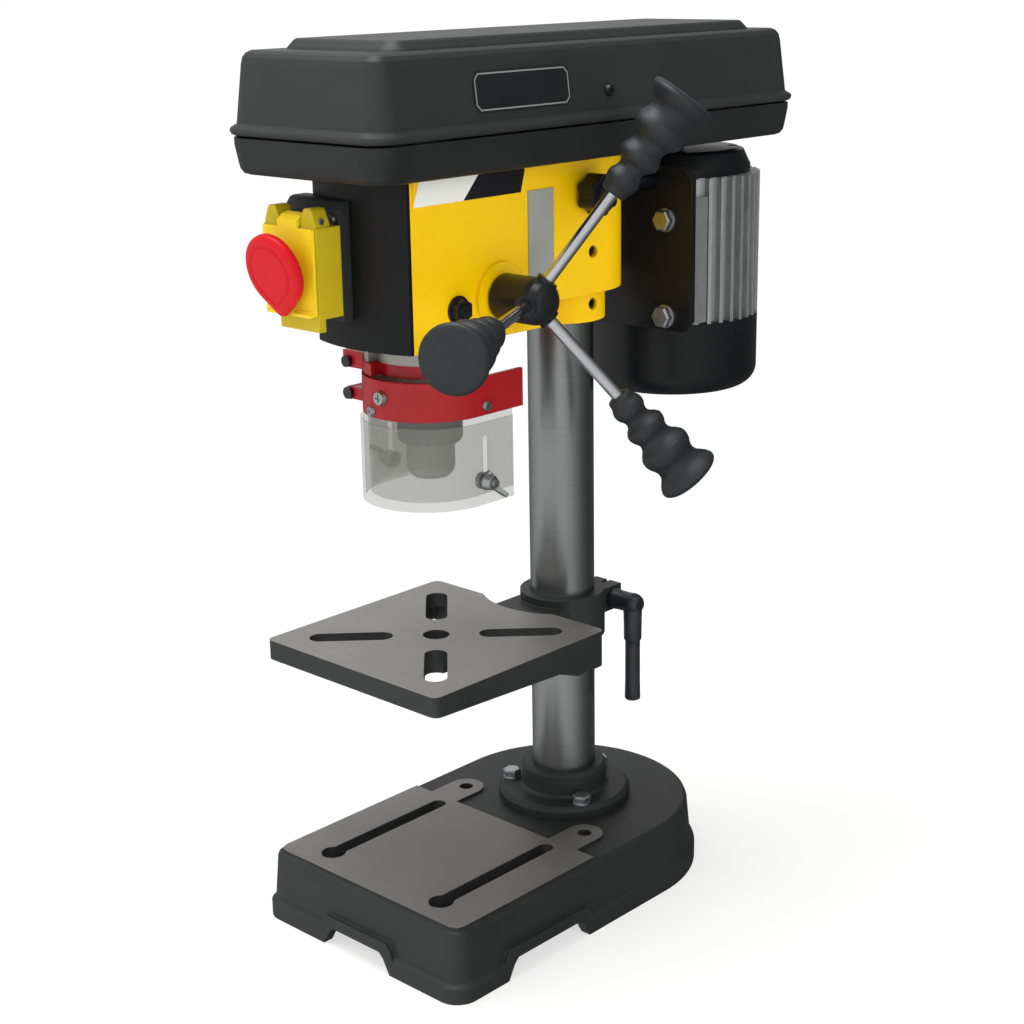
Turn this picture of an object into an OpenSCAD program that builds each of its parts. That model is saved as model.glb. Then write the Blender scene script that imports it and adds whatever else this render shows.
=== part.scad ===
// Benchtop drill press: column press with a belt head, rack feed, guarded chuck and lift table.
// Origin on the column axis at the bench; front is -Y, the operator's right is +X, up is +Z; millimetres.

/* [Column and base] */
// Diameter of the ground column
column_d = 46; // [43:0.5:48]
// Height of the column's top end above the bench
column_top = 510; // [500:0.5:512]
// Wall thickness of the column tube
column_wall = 5; // [4:0.25:7]
// Width of the base at the bench
base_w = 194; // [188:1:204]
// Distance from the column axis to the base's front edge
base_front = 212; // [206:1:224]
// Height of the machined pad above the bench
base_h = 50; // [46:0.5:54]
// Lean of the base walls from bottom to top
base_draft = 6; // [4:0.5:8]
// Radius of the base's front corners at the bench
base_corner = 16; // [14:0.5:20]
// Wall thickness of the base casting
base_wall = 7; // [5:0.5:8]
// Height of the proud lip round the foot
base_lip_h = 11; // [8:0.5:14]
// Height of the relief notches under the foot
notch_h = 14; // [10:0.5:18]
// Step from the machined pad down to the rest of the top
pad_step = 2; // [1:0.25:3]
// Width of the slots in the base
base_slot_w = 11; // [8:0.5:13]
// Length of the slots in the base
base_slot_len = 117; // [100:1:120]
// Distance between the slots' centre lines
base_slot_gap = 106; // [98:1:112]
// Diameter of the bench bolt holes
bench_hole_d = 10; // [8:0.5:12]
// Distance between the bench bolt holes
bench_hole_gap = 117; // [112:1:122]
// Diameter of the column flange
flange_d = 97; // [95:0.5:102]
// Thickness of the column flange
flange_t = 9; // [7:0.5:12]
// Outer diameter of the flange's socket
socket_d = 62; // [56:0.5:62.5]
// Height of the socket above the bench
socket_top = 75; // [70:0.5:84]

/* [Table] */
// Side of the square table
table_side = 161; // [150:1:168]
// Height of the table top above the bench as it stands
table_z = 209; // [190:1:220]
// Thickness of the table's front edge
table_edge = 13.5; // [12:0.5:16]
// Thickness of the table's rear edge
table_rear_edge = 25; // [20:0.5:28]
// Width of the table's slots
table_slot_w = 15; // [12:0.5:17]
// Length of the table's slots
table_slot_len = 56; // [48:0.5:60]
// Distance from the table's centre to the middle of a slot
table_slot_r = 57; // [54:0.5:60]
// Diameter of the table's centre hole
table_hole_d = 18; // [14:0.5:22]
// Outer diameter of the table's collar
collar_d = 61; // [58:0.5:64]
// Height of the table's collar
collar_h = 33; // [31:0.5:38]
// Travel of the table up the column
table_up = 60; // [30:1:70]
// Travel of the table down the column
table_down = 70; // [40:1:80]
// Length of the clamp lever's handle
lever_len = 72; // [60:1:84]

/* [Head] */
// Distance from the column axis to the spindle axis
throat = 128; // [126:0.5:130]
// Half width of the head
head_hw = 42; // [40.5:0.25:43]
// Distance from the column axis to the casting's front
head_front = 180; // [178:0.5:184]
// Height of the head's underside
head_z0 = 414; // [412:0.5:416]
// Height of the head's top
head_z1 = 520; // [518:0.5:522]
// Underside of the head behind the feed shaft
head_rear_z = 429; // [422:0.5:432]
// Radius of the column boss under the head
col_boss_r = 31; // [30:0.25:34]
// Bottom of the column boss
col_boss_z = 407; // [404:0.5:410]
// Bow of the black front panel
panel_bow = 8; // [6:0.25:10]

/* [Belt cover] */
// Half width of the cover at its rim
cover_hw = 71.3; // [70.5:0.1:73]
// Front end of the cover ahead of the column axis
cover_front = 231.5; // [228:0.5:234]
// Rear end of the cover behind the column axis
cover_rear = 180.6; // [178:0.5:184]
// Corner radius of the cover at its rim
cover_corner = 19; // [17:0.5:22]
// Height of the parting between pan and lid
part_z = 544; // [542:0.25:545]
// Height of the lid's shoulder
shoulder_z = 594; // [592:0.5:596]
// Height of the raised top panel
lid_top = 600; // [598:0.5:603]
// Sheet thickness of pan and lid
cover_t = 2.4; // [1.6:0.1:2.6]

/* [Drive] */
// Outer radius of the spindle pulley's largest step
pulley_r = 48; // [46:0.25:49]
// Difference in radius from one pulley step to the next
pulley_step = 6; // [4:0.25:6.5]
// Outer radius of the motor pulley's largest step
motor_pulley_r = 46; // [44:0.25:48]
// Height of one pulley step
step_h = 11.4; // [10.6:0.1:11.6]
// Distance from the column axis to the motor axis
motor_y = 125; // [124:0.25:127]
// Radius of the motor over its fins
motor_r = 62; // [60:0.25:63]
// Number of cooling fins round the motor
fin_count = 40; // [34:2:46]
// Thickness of a cooling fin
fin_t = 3; // [2:0.25:3.5]
// Height of the bottom of the motor
motor_z0 = 340; // [334:0.5:344]
// Height of the joint between lower bell and finned body
motor_z1 = 393; // [390:0.5:395]
// Height of the joint between finned body and top cap
motor_z2 = 495; // [492:0.5:497]
// Top of the motor's cap
motor_z3 = 512; // [508:0.5:514]
// Half width of the motor plate
plate_hw = 67; // [64:0.5:70]
// Front face of the motor plate behind the column axis
plate_y = 60; // [59:0.25:60.5]
// Travel of the motor for slackening the belt
motor_travel = 12; // [6:0.5:14]
// Radius of the slide rods
rail_r = 6; // [5:0.25:6.5]

/* [Feed and spindle] */
// Outer radius of the quill
quill_r = 20; // [19.5:0.25:20.5]
// Height of the quill's lower end as it stands
quill_z0 = 386; // [384:0.5:388]
// Travel of the quill
quill_travel = 50; // [40:1:52]
// Module of the feed rack and pinion
gear_m = 1.25; // [1.25:0.05:1.35]
// Height of the feed shaft
feed_z = 440; // [438:0.5:442]
// Distance from the feed axis to the tip of a handle
handle_len = 156; // [140:1:162]
// Lean of the handles away from the head in degrees
handle_lean = 26; // [20:0.5:30]
// Turn of the handles as they stand in degrees
handle_turn = 62.3; // [50:0.1:75]
// Radius of the handle rods
spoke_r = 4; // [3.5:0.1:4.5]
// Largest radius of a grip
grip_r = 22.5; // [19:0.25:24]

/* [Chuck] */
// Radius of the chuck's toothed sleeve
chuck_r = 21.4; // [20.8:0.1:22]
// Height of the sleeve's lower edge
chuck_z1 = 344.5; // [343:0.25:345.5]
// Height of the chuck's nose
chuck_z0 = 321; // [319:0.5:322]
// Radius of the chuck's jaws
jaw_r = 3.5; // [3:0.1:3.6]
// Travel of a jaw along its bore
jaw_travel = 22; // [16:0.5:23]

/* [Guard and switch] */
// Outer radius of the guard's red bracket
guard_r = 43; // [42.5:0.1:44]
// Lower edge of the bracket
guard_z0 = 366; // [364:0.5:368]
// Upper edge of the bracket
guard_z1 = 391; // [389:0.5:391.5]
// Lower edge of the sliding shield
shield_z0 = 308; // [304:0.5:310]
// Travel of the sliding shield
shield_travel = 28; // [16:1:29]
// Left edge of the switch box
switch_x0 = -50; // [-52:0.5:-48]
// Width of the switch box
switch_w = 50; // [48:0.5:53]
// Radius of the red stop paddle
paddle_r = 23.5; // [20:0.25:24]

/* [Hidden] */
$fn = 64;
fit = 0.05;          // radial clearance of seated and running round parts
clr = 0.3;           // gap between parts that pass each other
over = 1;            // how far a cutting solid runs past a face
col_r = column_d / 2;
base_hw = base_w / 2;
base_top = base_h - pad_step;
base_roof = 9;
lip_w = 3;
flange_top = base_top + flange_t;
flange_bolt_r = (socket_d / 2 + flange_d / 2) / 2;
bolt_r = 3.5;
collar_r = collar_d / 2;
collar_z1 = table_z;
collar_z0 = table_z - collar_h;
clamp_z = table_z - collar_h / 2;
clamp_y = collar_r + 11.5;
clamp_x = 12;
lever_x = 31;
feed_y = quill_r - 4.75 + gear_m * 7 - throat;
pinion_n = 14;
pinion_r = gear_m * pinion_n / 2;
rack_y = feed_y - pinion_r;
gear_add = 0.8 * gear_m;
gear_ded = 1.05 * gear_m;
gear_slack = 0.3;
feed_r = 8;
gib_off = 13.7;
gib_z = feed_z - 3.5;
pan_holes = [[-30, -160], [30, -160], [-30, -58], [30, -58]];
pinion_w = 14;
chamber_r = pinion_r + gear_add + 0.6;
quill_len = 117;
quill_z1 = quill_z0 + quill_len;
boss_r = quill_r + 8;
bearing_seats = [[quill_z0 + 2, 13.5], [quill_z1 - 13, 11.8]];  // [height, radius]
bearing_h = 11;
sleeve_r = 11.5;
bearing_r = 17.5;
bearing_z0 = head_z1 - 12;
spline_r = 8.8;
spline_core = 7.2;
spindle_r = 8.5;
spindle_top = head_z1 + 64;
pan_z = head_z1 + 0.5;
pan_top = part_z - 1;
pulley_z0 = pan_z + 8;
step_mid = 2;
belt_in = 0.6;
belt_t = 6;
belt_w = 8.2;
groove_d = 7;
feed_boss_r = 22;
feed_boss_h = 3;
hub_r = 15;
hub_x0 = head_hw + feed_boss_h + 0.8;
hub_c = head_hw + 28;
hub_end = hub_c + 16;
cap_r = 27;
cap_x = -head_hw - 20;
panel_y = head_front + 2.5 + panel_bow;
panel_R = (head_hw * head_hw + panel_bow * panel_bow) / (2 * panel_bow);
rail_x = 33;
rail_z = 496;
rail_end = -40;
plate_t = 4.5;
plate_z0 = motor_z1;
plate_z1 = 507;
hinge_x = -cover_hw - 3.2;
hinge_z = part_z + 3;
hinge_ys = [-150, 100];
lid_wall_b = 4.5;
lid_wall_t = 9;
nose_r = 16;
jaw_lean = 15;
jaw_len = 26;
jaw_tip_r = 2.2;
jaw_close_z = chuck_z0 + 4 - jaw_travel * cos(jaw_lean);
guard_t = 3;
guard_in = guard_r - guard_t;
guard_rear = throat - 43;
shield_rear = throat - 31;
fixed_rear = throat - 36;
shield_t = 1.8;
shield_y = throat - 5.5;
stud_z = shield_z0 + 15;
stud_r = 2.5;
shield_r = guard_r + 2;
shield_top = guard_z0 - 4;
pin_tube = 4.5;
pin_x = -guard_r - pin_tube - 0.5;
pin_z = (guard_z0 + guard_z1) / 2 - 5;
pin_r = 2.5;
boss_gap = 1;
boss_z = guard_z1 + boss_gap;
mount_z1 = boss_z + 8;
lug_h = 11;
lug_y = -throat - 30;
lug_d = 15;
front_screws = [[1, 14, 2.5], [-9, 4, 1.8]];  // [across, up, radius]
side_screws = [[1, -throat + 9], [-1, -throat + 29.4]];  // [side, y]
side_screw_z = guard_z0 + 5.6;
side_screw_r = 1.8;
box_y = panel_y + 8;
sw_x0 = switch_x0 + 1.5;
sw_x1 = switch_x0 + switch_w;
sw_mid = (sw_x0 + sw_x1) / 2;
sw_y = box_y + 19;
sw_z0 = head_z0 + 22.5;
sw_z1 = head_z1 - 28.5;
box_z0 = sw_z0 - 4;
box_z1 = sw_z1 + 14.5;
ear_w = 14;
ear_h = 11.4;
flap_y = sw_y - 6;
flap_z = sw_z1 + 3.5;
flap_r = 4.5;
flap_t = 2;
flap_face = sw_y + clr;
button_r = 7;
button_floor = sw_y - 7.5;
button_end = box_y + 1.5;
button_press = 3;
stop_z = sw_z0 + 17;
start_z = sw_z0 + 37;
box_screw_z = sw_z1 + 3.4;
box_screw_r = 1.6;
box_screws = [sw_x0 + 4, sw_x1 - 7];

// Points of a wall profile given as [offset, height], closed back to the middle line, for a wall at distance r.
function skirt(r, prof) = concat([[0, prof[0][1]]], [for (p = prof) [r + p[0], p[1]]],
    [[0, prof[len(prof) - 1][1]]]);
// The same profile on both sides of the middle line.
function both(r, prof) = concat([for (p = prof) [r + p[0], p[1]]],
    [for (i = [len(prof) - 1:-1:0]) [-r - prof[i][0], prof[i][1]]]);

// A polygon of [y, z] points drawn out along X from x0 to x1.
module along_x(x0, x1, pts) {
    translate([x0, 0, 0]) rotate([90, 0, 90]) linear_extrude(x1 - x0) polygon(pts);
}
// A polygon of [x, z] points drawn out along Y from y0 to y1.
module along_y(y0, y1, pts) {
    translate([0, y1, 0]) rotate([90, 0, 0]) linear_extrude(y1 - y0) polygon(pts);
}
// A round rod along X.
module rod_x(x0, x1, r, y, z) { translate([x0, y, z]) rotate([0, 90, 0]) cylinder(r = r, h = x1 - x0); }
// A round rod along Y.
module rod_y(y0, y1, r, x, z) { translate([x, y1, z]) rotate([90, 0, 0]) cylinder(r = r, h = y1 - y0); }

// A rounded rectangle whose walls follow a profile all the way round.
module swept_rect(hw, y0, y1, c, prof) {
    along_y(y0 + c, y1 - c, both(hw, prof));
    translate([0, y0 + c, 0]) mirror([0, 1, 0]) along_x(-hw + c, hw - c, skirt(c, prof));
    translate([0, y1 - c, 0]) along_x(-hw + c, hw - c, skirt(c, prof));
    for (q = [[1, 1, 0], [-1, 1, 90], [-1, 0, 180], [1, 0, 270]])
        translate([q[0] * (hw - c), q[1] == 1 ? y1 - c : y0 + c, 0]) rotate(q[2])
            rotate_extrude(angle = 90) polygon(skirt(c, prof));
}
// A half-round ended block, square at the front, whose walls follow a profile all the way round.
module swept_d(hw, front, c, prof) {
    rotate_extrude(angle = 180) polygon(skirt(hw, prof));
    along_y(-front + c, 0, both(hw, prof));
    translate([0, -front + c, 0]) mirror([0, 1, 0]) along_x(-hw + c, hw - c, skirt(c, prof));
    for (q = [[-1, 180], [1, 270]]) translate([q[0] * (hw - c), -front + c, 0]) rotate(q[1])
        rotate_extrude(angle = 90) polygon(skirt(c, prof));
}
// A U-shaped block about the spindle axis, round at the front and open at the rear.
module u_block(r, rear, z0, z1) {
    translate([0, -throat, z0]) {
        rotate(180) rotate_extrude(angle = 180) square([r, z1 - z0]);
        translate([-r, 0, 0]) cube([2 * r, throat - rear, z1 - z0]);
    }
}
// A slot with round ends, standing upright, its length along X.
module slot_cut(len, w, z0, z1) {
    translate([0, 0, z0]) {
        translate([-len / 2 + w / 2, -w / 2, 0]) cube([len - w, w, z1 - z0]);
        for (s = [-1, 1]) translate([s * (len / 2 - w / 2), 0, 0]) cylinder(d = w, h = z1 - z0);
    }
}
// A hexagon bolt along Z with its washer; the head stands on z = 0.
module hex_bolt(r, len, washer) {
    cylinder(r = washer, h = 1.6);
    translate([0, 0, 1.6]) cylinder(r = r * 1.95, h = r * 1.35, $fn = 6);
    translate([0, 0, -len]) cylinder(r = r, h = len + 1);
}
// A cross-head screw along Z; its head stands on z = 0.
module pan_screw(r, len) {
    difference() {
        cylinder(r1 = r * 2, r2 = r * 1.6, h = r * 1.2);
        for (a = [0, 90]) rotate(a) translate([-r * 1.1, -r * 0.22, r * 0.7]) cube([r * 2.2, r * 0.44, r]);
    }
    translate([0, 0, -len]) cylinder(r = r, h = len + 0.5);
}

// Outline of a foot notch, [across, up], with slanted ends; a taller one with the same slope is the lip over it.
function arch(mid, half, h, low = 0) = let (d = h - notch_h, w = half + 0.8 * d) [[mid - w - 5, -low],
    [mid - w + 1, h - 4], [mid - w + 5, h], [mid + w - 5, h], [mid + w - 1, h - 4], [mid + w + 5, -low]];

module base() {
    wall = [[0, 0], [0, base_lip_h], [-lip_w, base_lip_h + 2], [-base_draft, base_top - 3],
        [-base_draft - 0.9, base_top - 0.9], [-base_draft - 3, base_top]];
    hollow = [[-base_wall - 0.5, -over], [-base_wall - base_draft / 2, base_top - base_roof]];
    pad_w = base_hw - base_draft - 3.5;
    pad_f = base_front - base_draft - 3.5;
    ear = bench_hole_gap / 2;
    color("#2a2b2d") difference() {
        union() {
            swept_d(base_hw, base_front, base_corner, wall);
            along_x(-base_hw, base_hw, arch(-124, 36, notch_h + 8));
            along_y(-base_front, -base_front + base_wall + 3, arch(0, 28, notch_h + 8));
            translate([0, 0, base_top - 0.5]) linear_extrude(pad_step + 0.5) {
                polygon([[-pad_w, -68], [-pad_w, -pad_f + 7], [-pad_w + 2, -pad_f + 2], [-pad_w + 7, -pad_f],
                    [pad_w - 7, -pad_f], [pad_w - 2, -pad_f + 2], [pad_w, -pad_f + 7], [pad_w, -68]]);
                for (s = [-1, 1]) translate([s * ear, 0]) {
                    translate([0, -44.5]) circle(r = 13);
                    translate([-13, -69]) square([26, 24.5]);
                }
            }
        }
        difference() {
            swept_d(base_hw, base_front, base_corner, hollow);
            translate([0, 0, base_top - base_roof - 8]) cylinder(r = flange_bolt_r + 10, h = 20);
            for (s = [-1, 1]) translate([s * ear, -44.5, base_top - base_roof - 8]) cylinder(r = 12, h = 20);
        }
        for (s = [-1, 1]) {
            translate([s * base_slot_gap / 2, -191 + base_slot_len / 2, 0]) rotate(90)
                slot_cut(base_slot_len, base_slot_w, -over, base_h + over);
            translate([s * base_slot_gap / 2, -182, -over]) cylinder(d = base_slot_w + 6, h = base_h + 2 * over);
            translate([s * ear, -44.5, -over]) cylinder(d = bench_hole_d, h = base_h + 2 * over);
        }
        along_y(-base_front - over, -base_front + 30, arch(0, 28, notch_h, over));
        along_x(-base_hw - over, base_hw + over, arch(-124, 36, notch_h, over));
        for (a = [90, 210, 330]) rotate(a) translate([flange_bolt_r, 0, base_top - 16])
            cylinder(r = bolt_r + fit, h = 20);
    }
}

module column_flange() {
    color("#2a2b2d") difference() {
        translate([0, 0, base_top]) rotate_extrude() polygon([[col_r + fit, 0], [flange_d / 2, 0],
            [flange_d / 2, flange_t - 3], [flange_d / 2 - 3, flange_t], [socket_d / 2 + 2, flange_t],
            [socket_d / 2, flange_t + 2], [socket_d / 2, socket_top - base_top - 2],
            [socket_d / 2 - 2, socket_top - base_top], [col_r + fit, socket_top - base_top]]);
        for (a = [90, 210, 330]) rotate(a) translate([flange_bolt_r, 0, base_top - over])
            cylinder(r = bolt_r + fit, h = flange_t + 2 * over);
    }
}

module flange_bolts() {
    color("#b9bcc0") for (a = [90, 210, 330]) rotate(a) translate([flange_bolt_r, 0, flange_top])
        hex_bolt(bolt_r, flange_t + 12, 6.6);
}

module column() {
    color("#c4c7ca") translate([0, 0, base_top]) difference() {
        cylinder(r = col_r, h = column_top - base_top);
        translate([0, 0, -over]) cylinder(r = col_r - column_wall, h = column_top - base_top + 2 * over);
    }
}

module work_table() {
    h = table_side / 2;
    rear = throat - h;
    top = table_z;
    color("#9b9da0") difference() {
        union() {
            intersection() {
                along_x(-h, h, [[-throat - h, top], [-throat - h, top - table_edge],
                    [-rear - 46, top - table_edge - 5], [-rear - 28, top - table_rear_edge],
                    [-rear, top - table_rear_edge], [-rear, top]]);
                translate([0, -throat, top - 40]) linear_extrude(50)
                    polygon([for (q = [[1, 1, 0], [-1, 1, 90], [-1, -1, 180], [1, -1, 270]], a = [0:22.5:90])
                        [q[0] * (h - 5) + 5 * cos(q[2] + a), q[1] * (h - 5) + 5 * sin(q[2] + a)]]);
            }
            translate([0, 0, collar_z0]) cylinder(r = collar_r, h = collar_h);
            translate([-24, -rear - 16, collar_z0 + 3]) cube([48, rear + 2, collar_h - 9]);
            translate([-clamp_x, collar_r - 8, clamp_z - 9]) cube([2 * clamp_x, 29, 18]);
        }
        difference() {
            translate([-h + 8, -throat - h + 8, collar_z0 - over])
                cube([table_side - 16, table_side - 16 - 4, top - 10 - collar_z0 + over]);
            translate([-25, -rear - 16, collar_z0]) cube([50, 30, collar_h]);
            for (s = [-1, 1]) along_x(s * 21 - 3.5, s * 21 + 3.5, [[-rear, collar_z0 + 3], [-rear - 15, collar_z0 + 3],
                [-throat - h, top - table_edge], [-throat - h, top], [-rear, top]]);
            translate([0, -throat, top - table_edge - 2]) cylinder(d = table_hole_d + 16, h = 40);
        }
        difference() {
            translate([0, 0, collar_z0 - over]) cylinder(r = 58, h = collar_h + 2 * over);
            translate([0, 0, collar_z0 - 2 * over]) cylinder(r = collar_r, h = collar_h + 4 * over);
            translate([-24, -70, collar_z0 - 2 * over]) cube([48, 70, collar_h - 6 + 2 * over]);
            translate([-clamp_x, 0, clamp_z - 9]) cube([2 * clamp_x, 80, 18]);
        }
        translate([0, 0, collar_z0 - over]) cylinder(r = col_r + fit, h = collar_h + 2 * over);
        translate([-1.5, col_r - 4, collar_z0 - over]) cube([3, 60, collar_h + 2 * over]);
        rod_x(-clamp_x - over, clamp_x + over, 4 + fit, clamp_y, clamp_z);
        translate([0, -throat, top - 40]) cylinder(d = table_hole_d, h = 50);
        for (a = [45:90:315]) translate([0, -throat, 0]) rotate(a) translate([table_slot_r, 0, 0])
            slot_cut(table_slot_len, table_slot_w, top - 40, top + over);
    }
}

module table_clamp_screw() {
    color("#8d9094") {
        rod_x(-clamp_x - 5, lever_x + 7.5, 4, clamp_y, clamp_z);
        translate([-clamp_x - 6, clamp_y, clamp_z]) rotate([0, 90, 0]) cylinder(r = 7.4, h = 6, $fn = 6);
    }
}

module table_lever() {
    color("#1f2022") difference() {
        union() {
            rod_x(clamp_x + clr, lever_x + 3, 7.5, clamp_y, clamp_z);
            translate([lever_x, clamp_y, clamp_z - lever_len]) cylinder(r1 = 4, r2 = 5.2, h = lever_len);
            translate([lever_x, clamp_y, clamp_z - lever_len]) sphere(r = 4);
            translate([lever_x, clamp_y, clamp_z]) sphere(r = 7.4);
        }
        rod_x(clamp_x - over, lever_x + 9, 4 + fit, clamp_y, clamp_z);
    }
}

module head_casting() {
    ht = head_z1 - head_z0;
    color("#e3ae00") difference() {
        union() {
            translate([-head_hw, -head_front, head_z0]) cube([2 * head_hw, head_front - 48, ht]);
            translate([-head_hw, -48, head_rear_z]) cube([2 * head_hw, 48, head_z1 - head_rear_z]);
            translate([0, 0, head_rear_z]) rotate_extrude(angle = 180) square([head_hw, head_z1 - head_rear_z]);
            translate([0, 0, col_boss_z]) cylinder(r = col_boss_r, h = head_rear_z - col_boss_z + 20);
            translate([-12, -60, head_z0]) cube([24, 40, 40]);
            translate([0, -throat, boss_z]) cylinder(r = boss_r, h = head_z0 - boss_z + 20);
            rod_x(head_hw - 5, head_hw + feed_boss_h, feed_boss_r, feed_y, feed_z);
        }
        translate([0, 0, col_boss_z - over]) cylinder(r = col_r + fit, h = column_top + 1 - col_boss_z + over);
        translate([0, -throat, boss_z - over]) cylinder(r = quill_r + fit, h = quill_z1 + 2 - boss_z + over);
        translate([0, -throat, boss_z]) cylinder(r = sleeve_r + 1.5, h = head_z1 - boss_z + over);
        translate([0, -throat, bearing_z0]) cylinder(r = bearing_r + fit, h = 12 + over);
        rod_x(0, head_hw + feed_boss_h + over, feed_r + fit, feed_y, feed_z);
        rod_x(-head_hw - over, pinion_w / 2 + clr, chamber_r, feed_y, feed_z);
        for (s = [-1, 1]) {
            rod_y(-60, head_hw + over, rail_r + fit, s * rail_x, rail_z);
            translate([s < 0 ? -35 : 14, -82, head_z0 - over]) cube([21, 42, 92]);
        }
        translate([-36, -head_front + 5, head_z0 - over]) cube([72, 24, 98]);
        rod_x(rail_x, head_hw + over, 4 + fit, -20, rail_z);
        rod_x(0, head_hw + over, 4 + fit, -throat - gib_off, gib_z);
        for (p = [[-18, 457], [-2, 419]]) translate([0, 0, p[1]]) rotate(p[0])
            rod_x(col_r - 2, head_hw + 12, 4 + fit, 0, 0);
        for (p = pan_holes)
            translate([p[0], p[1], head_z1 - 10]) cylinder(r = 2.5 + fit, h = 12);
    }
}

module front_panel() {
    color("#232427") intersection() {
        translate([0, panel_R - panel_y, head_z0]) cylinder(r = panel_R, h = head_z1 - head_z0, $fn = 180);
        translate([-head_hw, -panel_y - 5, head_z0]) cube([2 * head_hw, panel_y + 5 - head_front, head_z1 - head_z0]);
    }
}

module head_screws() {
    color("#6d7074") {
        translate([0, 0, 457]) rotate(-18) difference() {
            rod_x(col_r + clr, head_hw / cos(18) - 5.5, 4, 0, 0);
            translate([head_hw / cos(18) - 9, 0, 0]) rotate([0, 90, 0]) cylinder(r = 2.3, h = 8, $fn = 6);
        }
        translate([0, 0, 419]) rotate(-2) difference() {
            rod_x(col_r + clr, col_boss_r - 2.5, 4, 0, 0);
            translate([col_boss_r - 5, 0, 0]) rotate([0, 90, 0]) cylinder(r = 2.3, h = 8, $fn = 6);
        }
        rod_x(sqrt(quill_r * quill_r - gib_off * gib_off) - 1, head_hw + 8, 4, -throat - gib_off, gib_z);
        translate([head_hw, -throat - gib_off, gib_z]) rotate([0, 90, 0]) {
            cylinder(r = 9, h = 1.4);
            translate([0, 0, 1]) cylinder(r = 7.5, h = 5, $fn = 6);
        }
        for (p = pan_holes) translate([p[0], p[1], pan_z + cover_t]) pan_screw(2.5, 10);
    }
}

module side_plates() {
    plate_low = head_z1 - 17;
    color("#d6d6d0") difference() {
        union() {
            translate([head_hw, -head_front + 2, plate_low]) cube([0.7, 98, 16]);
            translate([head_hw, feed_y + feed_boss_r + 5, feed_z + 1]) cube([0.7, 24, plate_low - feed_z - 1]);
        }
        rod_x(head_hw - over, head_hw + feed_boss_h + over, feed_boss_r + clr, feed_y, feed_z);
    }
}

module pinion_bushing() {
    color("#b08d57") difference() {
        rod_x(-head_hw, -quill_r + 3, chamber_r - fit, feed_y, feed_z);
        rod_x(-head_hw - over, 0, feed_r + fit, feed_y, feed_z);
    }
}

module spring_cap() {
    color("#232427") difference() {
        union() {
            rod_x(cap_x, -head_hw, cap_r, feed_y, feed_z);
            rod_x(cap_x - 5, cap_x + 2, 9, feed_y, feed_z);
        }
        rod_x(cap_x + 2.5, -head_hw + over, cap_r - 2.5, feed_y, feed_z);
    }
}

module return_spring() {
    turns = 4;
    n = 16;
    r0 = feed_r + fit + 0.1;
    r1 = cap_r - 3.6;
    function arm(i, t) = let (r = r0 + t + (r1 - r0) * i / (turns * n), a = 360 * i / n) [r * cos(a), r * sin(a)];
    color("#5b6066") translate([cap_x + 5, feed_y, feed_z]) rotate([0, 90, 0]) linear_extrude(12)
        polygon(concat([for (i = [0:turns * n]) arm(i, 0)], [for (i = [turns * n:-1:0]) arm(i, 0.9)]));
}

module belt_pan() {
    out = [[-10.5, pan_z], [-7.4, pan_z + 1], [-5.4, pan_z + 3.6], [-4.6, pan_z + 6.5], [-2.4, pan_top - 4], [-2.4, pan_top]];
    in = [[-11.5, pan_z + cover_t], [-8.2, pan_z + cover_t + 2.4], [-7.2, pan_z + 6.5 + cover_t],
        [-2.4 - cover_t, pan_top - 4], [-2.4 - cover_t, pan_top + over]];
    color("#2b2c2f") {
        difference() {
            swept_rect(cover_hw, -cover_front, cover_rear, cover_corner, out);
            swept_rect(cover_hw, -cover_front, cover_rear, cover_corner, in);
            translate([0, -throat, pan_z - over]) cylinder(r = sleeve_r + 3, h = 20);
            translate([0, motor_y - motor_travel / 2, 0]) rotate(90) slot_cut(28 + motor_travel, 28, pan_z - over, pan_z + 20);
            for (p = pan_holes)
                translate([p[0], p[1], pan_z - over]) cylinder(r = 2.5 + fit, h = 10);
        }
        for (y = hinge_ys, s = [-1, 1]) difference() {
            union() {
                rod_y(y + s * 12 - 5.6, y + s * 12 + 5.6, 2.9, hinge_x, hinge_z);
                translate([hinge_x - 1.2, y + s * 12 - 5.6, part_z - 7]) cube([2.4, 11.2, 9]);
                translate([hinge_x - 1.2, y + s * 12 - 5.6, part_z - 7]) cube([8, 11.2, 2.4]);
            }
            rod_y(y + s * 12 - 7, y + s * 12 + 7, 1.5 + fit, hinge_x, hinge_z);
        }
    }
}

module pulley_bearing() {
    color("#c4c7ca") translate([0, -throat, bearing_z0]) difference() {
        cylinder(r = bearing_r, h = 11);
        translate([0, 0, -over]) cylinder(r = sleeve_r + fit, h = 14);
    }
}

// A stepped V-groove pulley from its lowest step up; each entry is a step's outer radius.
module step_pulley(radii) {
    rotate_extrude() difference() {
        polygon(concat([[0, 0]], [for (i = [0:len(radii) - 1], e = [0, 1]) [radii[i], (i + e) * step_h]],
            [[0, len(radii) * step_h]]));
        for (i = [0:len(radii) - 1]) translate([radii[i], (i + 0.5) * step_h])
            polygon([[1, -belt_w / 2 - 1.1], [1, belt_w / 2 + 1.1], [-groove_d, belt_w / 2 + 0.3], [-groove_d, -belt_w / 2 - 0.3]]);
    }
}
spindle_steps = [for (i = [4:-1:0]) pulley_r - i * pulley_step];
motor_steps = [for (i = [0:4]) motor_pulley_r - i * pulley_step];

module spindle_pulley() {
    color("#a9acb0") translate([0, -throat, pulley_z0]) difference() {
        step_pulley(spindle_steps);
        translate([0, 0, -over]) cylinder(r = sleeve_r + fit, h = 80);
        translate([0, 0, 4 * step_h + 2]) cylinder(r = spindle_steps[4] - groove_d - 5, h = step_h);
    }
}

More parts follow.
